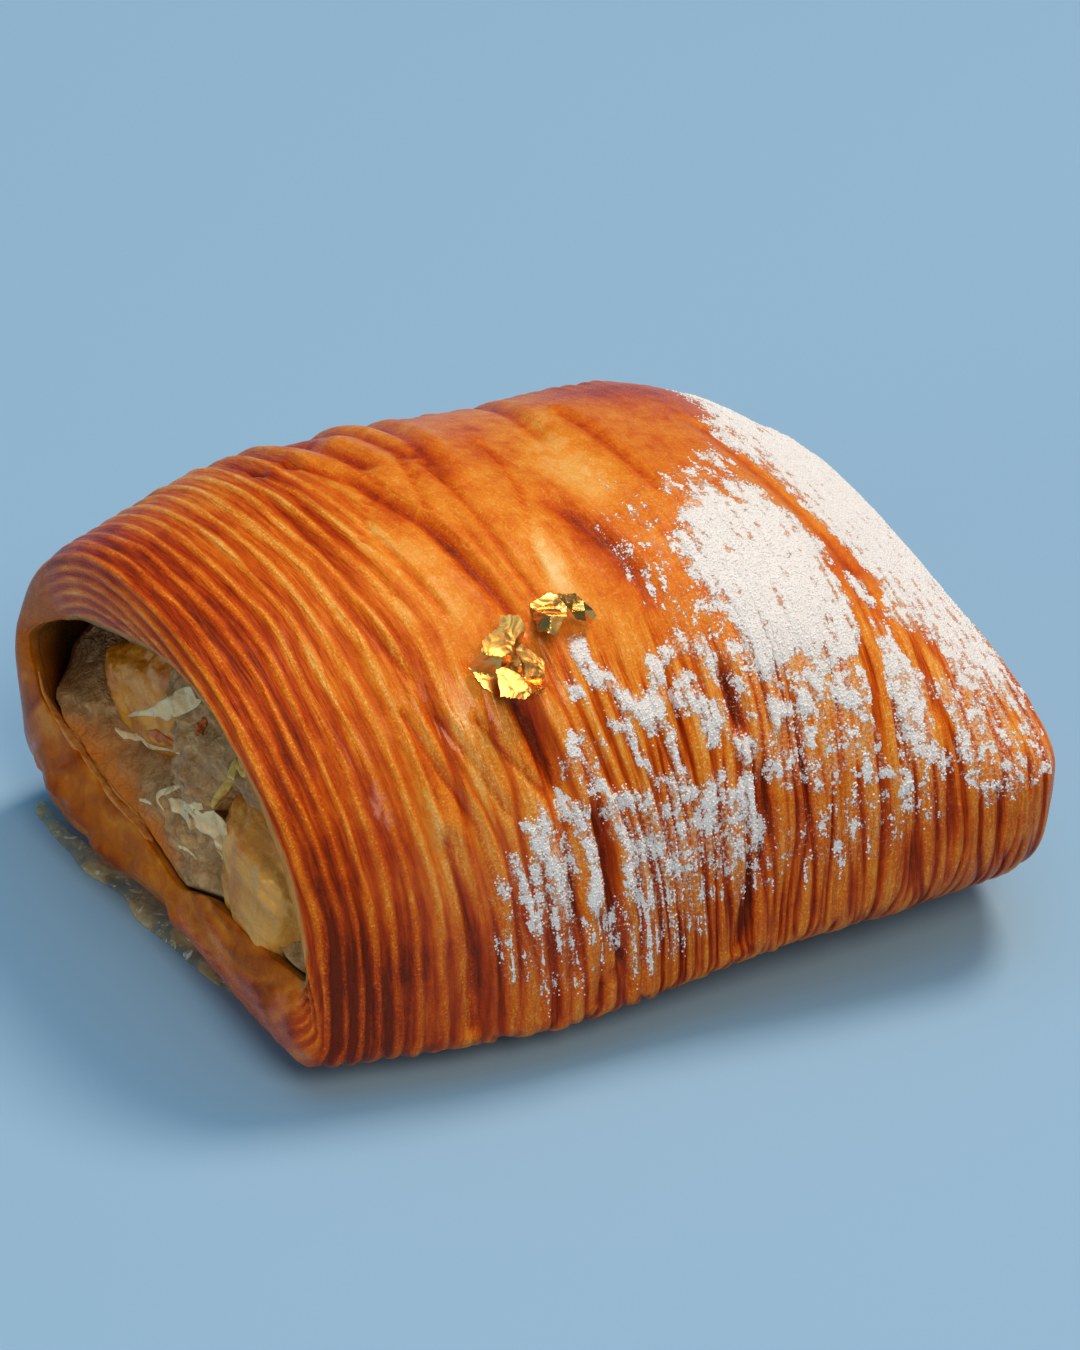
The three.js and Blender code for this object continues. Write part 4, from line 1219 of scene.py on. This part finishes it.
def grown(crust, tree, inputs, name):
    """What a node tree makes of the crust's mesh, as an object of its own."""
    carrier = crust.copy()
    bpy.context.scene.collection.objects.link(carrier)
    modifier = carrier.modifiers.new(name, "NODES")
    modifier.node_group = tree
    for socket, value in inputs.items():
        modifier[socket] = value
    bpy.context.view_layer.update()
    evaluated = carrier.evaluated_get(bpy.context.evaluated_depsgraph_get())
    mesh = bpy.data.meshes.new_from_object(evaluated)
    bpy.data.objects.remove(carrier)
    mesh.name = name

    # The crust's values came along with the points. Names with a leading dot are the mesh's own.
    for key in [item.name for item in mesh.attributes]:
        if not key.startswith(".") and key not in ("position", "material_index"):
            mesh.attributes.remove(mesh.attributes[key])
    piece = bpy.data.objects.new(name, mesh)
    bpy.context.scene.collection.objects.link(piece)
    return piece


def make_sugar(crust, finish):
    """The grains as joined meshes, a piece for each band."""
    tree, sockets = sugar_tree(finish)
    pieces = []
    for number, (low, high) in enumerate(SUGAR_BANDS):
        settings = {"Grains per mm2": GRAINS["per_mm2"], "Radius mm": GRAINS["radius"],
                    "From mm": float(low), "To mm": float(high),
                    "Seed": GRAINS["first_seed"] + number}
        inputs = {sockets[name]: value for name, value in settings.items()}
        pieces.append(grown(crust, tree, inputs, f"sugar_grains_{number + 1}"))
    return pieces


# The filling

def filling_point(x, degrees):
    """Points of the filling's side: the wall inside less the gap, and less the hollow on top."""
    top = window(STRETCH["hollow"], degrees)
    hollow = HOLLOW["depth"] * top * (1 - smooth(BORE["left"], HOLLOW["reach"], x))
    return bore_point(x, degrees, GAP + hollow)


def fruit_pocket(y, z):
    """1 where a piece of pear stands in the filling's left face, falling to 0 round it."""
    deep = np.zeros(np.shape(y))
    for fruit in FRUIT.values():
        (x, middle_y, middle_z), (_, half_y, half_z) = fruit["at"], fruit["half"]
        if x < 0:
            radius = np.hypot((y - middle_y) / half_y, (z - middle_z) / half_z)
            deep = np.maximum(deep, 1 - smooth(0.85, 1.35, radius))
    return deep


def face_rise(y, z, share, bulge):
    """How far the end of the filling stands out, in uneven spooned folds. The share is 0 in the
    face's middle and 1 at its rim."""
    lump = np.sin(0.33 * y + 1) * np.cos(0.33 * z)
    folds = np.abs(patchy(y + 0.4 * z, z - 0.3 * y, 5.0, 2.6, 51))
    wrinkles = np.abs(patchy(y + 0.6 * z, z - 0.5 * y, 2.0, 0.9, 52))
    fine = patchy(y, z, 1.1, 0.7, 53)
    inside = 1 - share ** 8
    return ((bulge + 0.9 * lump) * (1 - share ** 2)
            + (1.4 * folds + 0.9 * wrinkles + 0.3 * fine) * inside)


def mound(y, z, height, middle, half):
    return height * np.exp(-(((y - middle[0]) / half[0]) ** 2) - ((z - middle[1]) / half[1]) ** 2)


def left_face_rise(y, z, share):
    """The left face also heaps up beside the pear, and sinks at the top and round the fruit."""
    top = TOP_SINK["depth"] * smooth(*TOP_SINK["y"], y) * smooth(*TOP_SINK["z"], z)
    around_fruit = POCKET_DEPTH * fruit_pocket(y, z)
    more = mound(y, z, **HEAP) - mound(y, z, **PIT) - top - around_fruit
    return face_rise(y, z, share, FACE_BULGE["left"]) + more * (1 - share ** 8)


def left_rim(degrees):
    """Where the filling's left face starts: near the mouth low at the back, deep at the top."""
    return BORE["left"] + around_pairs(LEFT_RIM, degrees)


def face_rings(x, outward, degrees):
    """An end face of the filling from its rim to its middle."""
    rim = filling_point(x, degrees)
    middle = rim.mean(axis=0)
    middle[0] = filling_point(BORE["left" if outward < 0 else "right"], degrees)[:, 0].mean()
    rings = []
    for share in np.linspace(FILLING_MESH["rim"], FILLING_MESH["middle"], FILLING_MESH["rings"]):
        ring = middle + (rim - middle) * share
        ring[:, 0] = middle[0] + (rim[:, 0] - middle[0]) * share ** 2.4
        if outward < 0:
            rise = left_face_rise(ring[:, 1], ring[:, 2], share)
        else:
            rise = face_rise(ring[:, 1], ring[:, 2], share, FACE_BULGE["right"])
        ring[:, 0] += outward * rise
        rings.append(ring)
    return rings


def hollow_shade(points):
    """Painted shade: 1 where the camera sees the hollow under the mouth's top, falling to 0 round
    it.
    """
    y, z = points[:, 1], points[:, 2]
    inset = points[:, 0] - LEFT_END - LEFT_END_SKEW * y - SMEAR_PLANE
    seen_y, seen_z = y - SIGHT_SHIFT["y"] * inset, z - SIGHT_SHIFT["z"] * inset
    over_level = seen_z - HOLLOW_SHADE["level"]
    above = smooth(*HOLLOW_SHADE["above"], seen_z + HOLLOW_SHADE["top_lean"] * seen_y)
    behind = smooth(*HOLLOW_SHADE["behind"], seen_y + HOLLOW_SHADE["back_lean"] * over_level)
    return above * behind * (points[:, 0] < LEFT_END + HOLLOW_SHADE["reach"])


def make_cream(finish):
    """The filling, closed, with its left face first. That face carries painted shade at its top and
    back, and is browned by the wet lip below it."""
    degrees = np.linspace(0, 360, FILLING_MESH["round"], endpoint=False)
    stations = np.linspace(BORE["left"] + 5, BORE["right"], FILLING_MESH["stations"])
    left = face_rings(left_rim(degrees), -1, degrees)[::-1]
    middle = [filling_point(x, degrees) for x in stations]
    right = face_rings(BORE["right"], 1, degrees)
    points, faces = rings_with_caps(left + middle + right)
    share = np.linspace(FILLING_MESH["middle"], FILLING_MESH["rim"], len(left))[:, None]
    # Painted shade along the face's rim at the back, beside the hollow's.
    back = smooth(0.6, 0.9, share) * window(STRETCH["dark_edge"], degrees)
    below = smooth(0.66, 0.95, share) * window(STRETCH["wet_edge"], degrees)
    shade, edge = hollow_shade(points), np.zeros(len(points))
    shade[:back.size] = np.maximum(shade[:back.size], back.ravel())
    edge[:below.size] = below.ravel()
    return make_piece("cream_filling", points, faces, finish, {"edge": edge, "shade": shade})


def turned(points, tilt):
    """Points turned about X, then Y, then Z, in radians."""
    for axis, angle in enumerate(tilt):
        a, b = [(1, 2), (2, 0), (0, 1)][axis]
        c, s = np.cos(angle), np.sin(angle)
        first, second = points[:, a].copy(), points[:, b].copy()
        points[:, a] = c * first - s * second
        points[:, b] = s * first + c * second
    return points


def make_fruit(name, finish):
    """A piece of pear: a ball drawn out to a block with soft corners, knobbly and rough."""
    fruit = FRUIT[name]
    seed = fruit["seed"]
    shape = bmesh.new()
    bmesh.ops.create_icosphere(shape, subdivisions=FRUIT_DIVISIONS, radius=1)
    ball = np.array([v.co for v in shape.verts])
    faces = [[v.index for v in f.verts] for f in shape.faces]
    shape.free()
    knobs = 0.05 * (np.sin(5 * ball[:, 0] + seed) + np.sin(4 * ball[:, 1] + 2 * seed)
                    + np.cos(5 * ball[:, 2] - seed))
    points = signed_power(ball, fruit["flatness"]) * np.array(fruit["half"]) * (1 + knobs)[:, None]
    x, y, z = points.T
    rough = (0.8 * np.abs(patchy(y + x, z, 4.6, 3.6, 60 + seed))
             + 0.35 * patchy(y - z, z, 2.1, 1.4, 65 + seed)
             + 0.14 * patchy(y, z + x, 1.0, 0.8, 70 + seed))
    points = turned(points + ball * rough[:, None], fruit["tilt"]) + np.array(fruit["at"])
    return make_piece(name + "_piece", points, faces, finish)


def line_of_sight(pieces):
    """A function of y and z in mm in the smears' plane: the points first met from the camera."""
    points, faces = [], []
    for piece in pieces:
        first = len(points)
        points += [vertex.co / MM for vertex in piece.data.vertices]
        faces += [[first + corner for corner in face.vertices] for face in piece.data.polygons]
    tree = BVHTree.FromPolygons(points, faces)
    sight = (Vector(CAMERA_AIM) - Vector(CAMERA_AT)).normalized()

    def met(y, z):
        start = Vector((LEFT_END + SMEAR_PLANE + LEFT_END_SKEW * y, y, z))
        hit = tree.ray_cast(start - SEARCH_FROM * sight, sight)[0]
        return tuple(hit) if hit else tuple(start)

    return met, np.array(sight)


def make_smear(name, path, seed, met, sight, finish):
    """A thin ragged smear, closed, that follows what it lies on."""
    path = np.array(path, float)
    t = np.linspace(0, 1, SMEAR_MESH["along"])
    y, z, half = [along(column.tolist(), t) for column in path.T]
    slope = np.arctan2(np.gradient(z), np.gradient(y))
    turn = np.linspace(0, 2 * np.pi, SMEAR_MESH["round"], endpoint=False)
    rings = []
    for i in range(len(t)):
        torn = patchy(np.sign(np.cos(turn)), t[i] * len(path) * 2 + 9 * seed, 1, 1, 56)
        across = max(half[i], 0.05) * np.cos(turn) * (1 + 0.4 * torn)
        ring_y = y[i] - across * np.sin(slope[i])
        ring_z = z[i] + across * np.cos(slope[i])
        out = 0.5 * min(half[i], 0.7) * (np.sin(turn) + 0.15)
        ring = np.array([met(*pair) for pair in zip(ring_y, ring_z)])
        depth = ring @ sight
        too_deep = np.maximum(depth - depth.min() - SMEAR_DROP, 0)
        ring -= too_deep[:, None] * sight
        rings.append(ring - out[:, None] * sight)
    points, faces = rings_with_caps(rings)
    return make_piece(name, points, faces, finish)


def triangle_wave(value):
    return 4 * np.abs(value - np.floor(value + 0.5)) - 1


def crumple(u, v, random):
    """Flat facets between sharp folds, as thin foil has when it is laid down."""
    height = np.zeros_like(u)
    grain = random.uniform(0, np.pi)
    for fold in range(GOLD["folds"]):
        turn = grain + random.uniform(-0.7, 0.7) + (np.pi / 2 if fold % 4 == 0 else 0)
        middle = random.uniform(-GOLD["spread"], GOLD["spread"])
        sign = 1 if fold % 2 else -1
        steep = random.uniform(*GOLD["steep"])
        height += sign * steep * np.abs(u * np.cos(turn) + v * np.sin(turn) - middle)
    across = u * np.cos(grain + 0.2) + v * np.sin(grain + 0.2)
    return height + GOLD["pleat_height"] * triangle_wave(across / GOLD["pleat"])


def polygon_reach(corners, angles):
    """How far an outline with straight edges reaches from its middle in each direction."""
    reach = np.zeros(len(angles))
    c, s = np.cos(angles), np.sin(angles)
    for start, end in zip(corners, np.roll(corners, -1, axis=0)):
        run, rise = end - start
        cross = c * rise - s * run
        distance = (start[0] * rise - start[1] * run) / cross
        share = (start[0] * s - start[1] * c) / cross
        hit = (distance > 0) & (share >= -1e-6) & (share <= 1 + 1e-6)
        reach = np.where(hit, np.maximum(reach, distance), reach)
    return reach


def gold_sheet(at, lift, lean, outline, random):
    """A thin closed sheet over the skin, inside the outline."""
    corners = np.array(outline, float)
    middle = corners.mean(axis=0)
    corners = corners - middle
    turns = np.mod(np.arctan2(corners[:, 1], corners[:, 0]), 2 * np.pi)
    even = np.linspace(0, 2 * np.pi, GOLD_MESH["round"], endpoint=False)
    angles = np.unique(np.round(np.concatenate([even, turns]), 4))
    reach = polygon_reach(corners, angles) * (1 + 0.035 * random.uniform(-1, 1, len(angles)))
    share = np.linspace(0.02, 1, GOLD_MESH["rings"])[:, None]
    u = middle[0] + reach * share * np.cos(angles)
    v = middle[1] + reach * share * np.sin(angles)
    rise = crumple(u, v, random)
    rise = lift + 1.0 + rise - rise.mean() + 0.3 * lean * (v - middle[1])
    rise = np.clip(rise, *GOLD["rise"])
    x, degrees = at[0] + u, at[1] + v / MM_PER_DEGREE
    bottom = settle(body_point(x, degrees, -rise))
    top = settle(body_point(x, degrees, -rise - GOLD["thickness"]))
    return rings_with_caps(list(bottom) + list(top[::-1]))


def make_gold(name, at, lift, seed, sheets, finish):
    """A flake of one or more sheets, each lying a little higher than the last."""
    random = np.random.default_rng(seed)
    points, faces, count = [], [], 0
    for number, (lean, outline) in enumerate(sheets):
        height = lift + GOLD["sheet_apart"] * number
        sheet_points, sheet_faces = gold_sheet(at, height, lean, outline, random)
        points.append(sheet_points)
        faces += [[count + corner for corner in face] for face in sheet_faces]
        count += len(sheet_points)
    return make_piece(name + "_foil", np.concatenate(points), faces, finish, smooth_faces=False)


# Clear syrup under the left mouth

def foot_edge(y):
    """Where along X the crust's left end stands on the floor, in mm."""
    c = signed_power(np.clip(y / HALF_BACK[0], -1, 1), 1 / SIDE_POWER["below"])
    degrees = 360 - np.degrees(np.arccos(c))
    return LEFT_END + set_back(0, degrees) + LEFT_END_SKEW * y


def make_syrup(finish):
    """A low clear pool that clings to the foot of the crust under the left mouth."""
    turn = np.linspace(0, np.pi, SYRUP_MESH["over"])
    rings = []
    for t in np.linspace(0, 1, SYRUP_MESH["along"]):
        y = SYRUP["from"] + (SYRUP["to"] - SYRUP["from"]) * t
        swell = np.sin(np.pi * min(max(t, 0.01), 0.99)) ** 0.45
        uneven = patchy(y, 0.0, 5.5, 1, 81)
        half = 0.5 * SYRUP["width"] * swell * (0.95 + 0.3 * uneven)
        height = SYRUP["height"] * swell * (0.8 + 0.25 * uneven)
        near = foot_edge(y) + SYRUP["under"]
        across = 0.5 - 0.5 * np.cos(turn)
        ripple = 1 + 0.08 * patchy(across * 4, np.full_like(turn, y), 1.0, 1.6, 82)
        profile = np.sin(turn) ** 0.7 * (1.15 - 0.5 * across) * ripple
        rings.append(np.stack([near - 2 * half * across, np.full_like(turn, y),
                               0.02 + height * profile], axis=-1))
    points, faces = rings_with_caps(rings)
    return make_piece("syrup_pool", points, faces, finish)


# The stage

def make_floor(finish):
    half = FLOOR_HALF
    corners = [(-half, -half, 0), (half, -half, 0), (half, half, 0), (-half, half, 0)]
    floor = make_piece("floor", corners, [[0, 1, 2, 3]], finish, smooth_faces=False)


def aim(thing, at, target):
    thing.location = at
    thing.rotation_euler = (Vector(target) - Vector(at)).to_track_quat("-Z", "Y").to_euler()


def make_camera():
    data = bpy.data.cameras.new("camera")
    data.sensor_fit = "VERTICAL"
    data.sensor_width = SENSOR
    data.sensor_height = SENSOR
    data.lens = LENS
    data.clip_start = 0.01
    camera = bpy.data.objects.new("camera", data)
    bpy.context.scene.collection.objects.link(camera)
    aim(camera, CAMERA_AT, CAMERA_AIM)
    bpy.context.scene.camera = camera


def make_light(name, at, size, watts, tint):
    data = bpy.data.lights.new(name, "AREA")
    data.shape = "DISK"
    data.size = size
    data.energy = watts
    data.color = tint
    light = bpy.data.objects.new(name, data)
    bpy.context.scene.collection.objects.link(light)
    aim(light, at, LIGHTS_AIM)


def make_world():
    world = bpy.data.worlds.new("studio")
    world.use_nodes = True
    nodes = world.node_tree.nodes
    nodes["Background"].inputs["Color"].default_value = SKY["colour"]
    nodes["Background"].inputs["Strength"].default_value = SKY["strength"]
    bpy.context.scene.world = world
    bpy.context.scene.view_settings.view_transform = "Standard"


def dress_wrap():
    """The crust with its sugar."""
    crust = make_crust(crust_finish())
    grains = make_sugar(crust, sugar_finish())
    dress(crust, "crust", "crust")
    for grain in grains:
        dress(grain, "sugar")
    return crust


def dress_filling():
    """The cream and the pieces of pear in it."""
    cream = make_cream(cream_finish())
    dress(cream, "cream", "cream")
    flesh = {
        "pear": pear_finish("poached_pear", colour(238, 170, 76), colour(210, 126, 38), 0.2),
        "baked_pear": pear_finish("baked_pear", colour(240, 160, 44), colour(198, 110, 16), 0.6),
    }
    filling = [cream]
    for name, fruit in FRUIT.items():
        piece = make_fruit(name, flesh[fruit["slot"]])
        dress(piece, fruit["slot"], name)
        filling.append(piece)
    return filling


def dress_smears(under):
    """Smears of cream and shreds of pear on the pieces that lie under them."""
    finishes = {
        "white": smear_finish("white_cream", colour(255, 200, 142), colour(255, 226, 180)),
        "film": smear_finish("cream_film", colour(196, 104, 24), colour(214, 150, 80)),
        "core": smear_finish("pear_core", colour(176, 74, 22), colour(214, 118, 44)),
        "sliver": smear_finish("pear_sliver", colour(214, 158, 62), colour(238, 194, 104)),
    }
    met, sight = line_of_sight(under)
    for seed, (name, kind, path) in enumerate(SMEARS):
        smear = make_smear(name, path, seed, met, sight, finishes[kind])
        dress(smear, "cream" if kind in ("white", "film") else "baked_pear")


def main():
    make_camera()
    make_world()
    for light in LIGHTS:
        make_light(*light)
    make_floor(floor_finish())
    crust = dress_wrap()
    filling = dress_filling()
    dress_smears([*filling, crust])
    foil = gold_finish()
    for name, at, lift, seed, sheets in GOLD_FLAKES:
        dress(make_gold(name, at, lift, seed, sheets, foil), "gold_leaf", name)
    dress(make_syrup(syrup_finish()), "syrup", "syrup")


main()
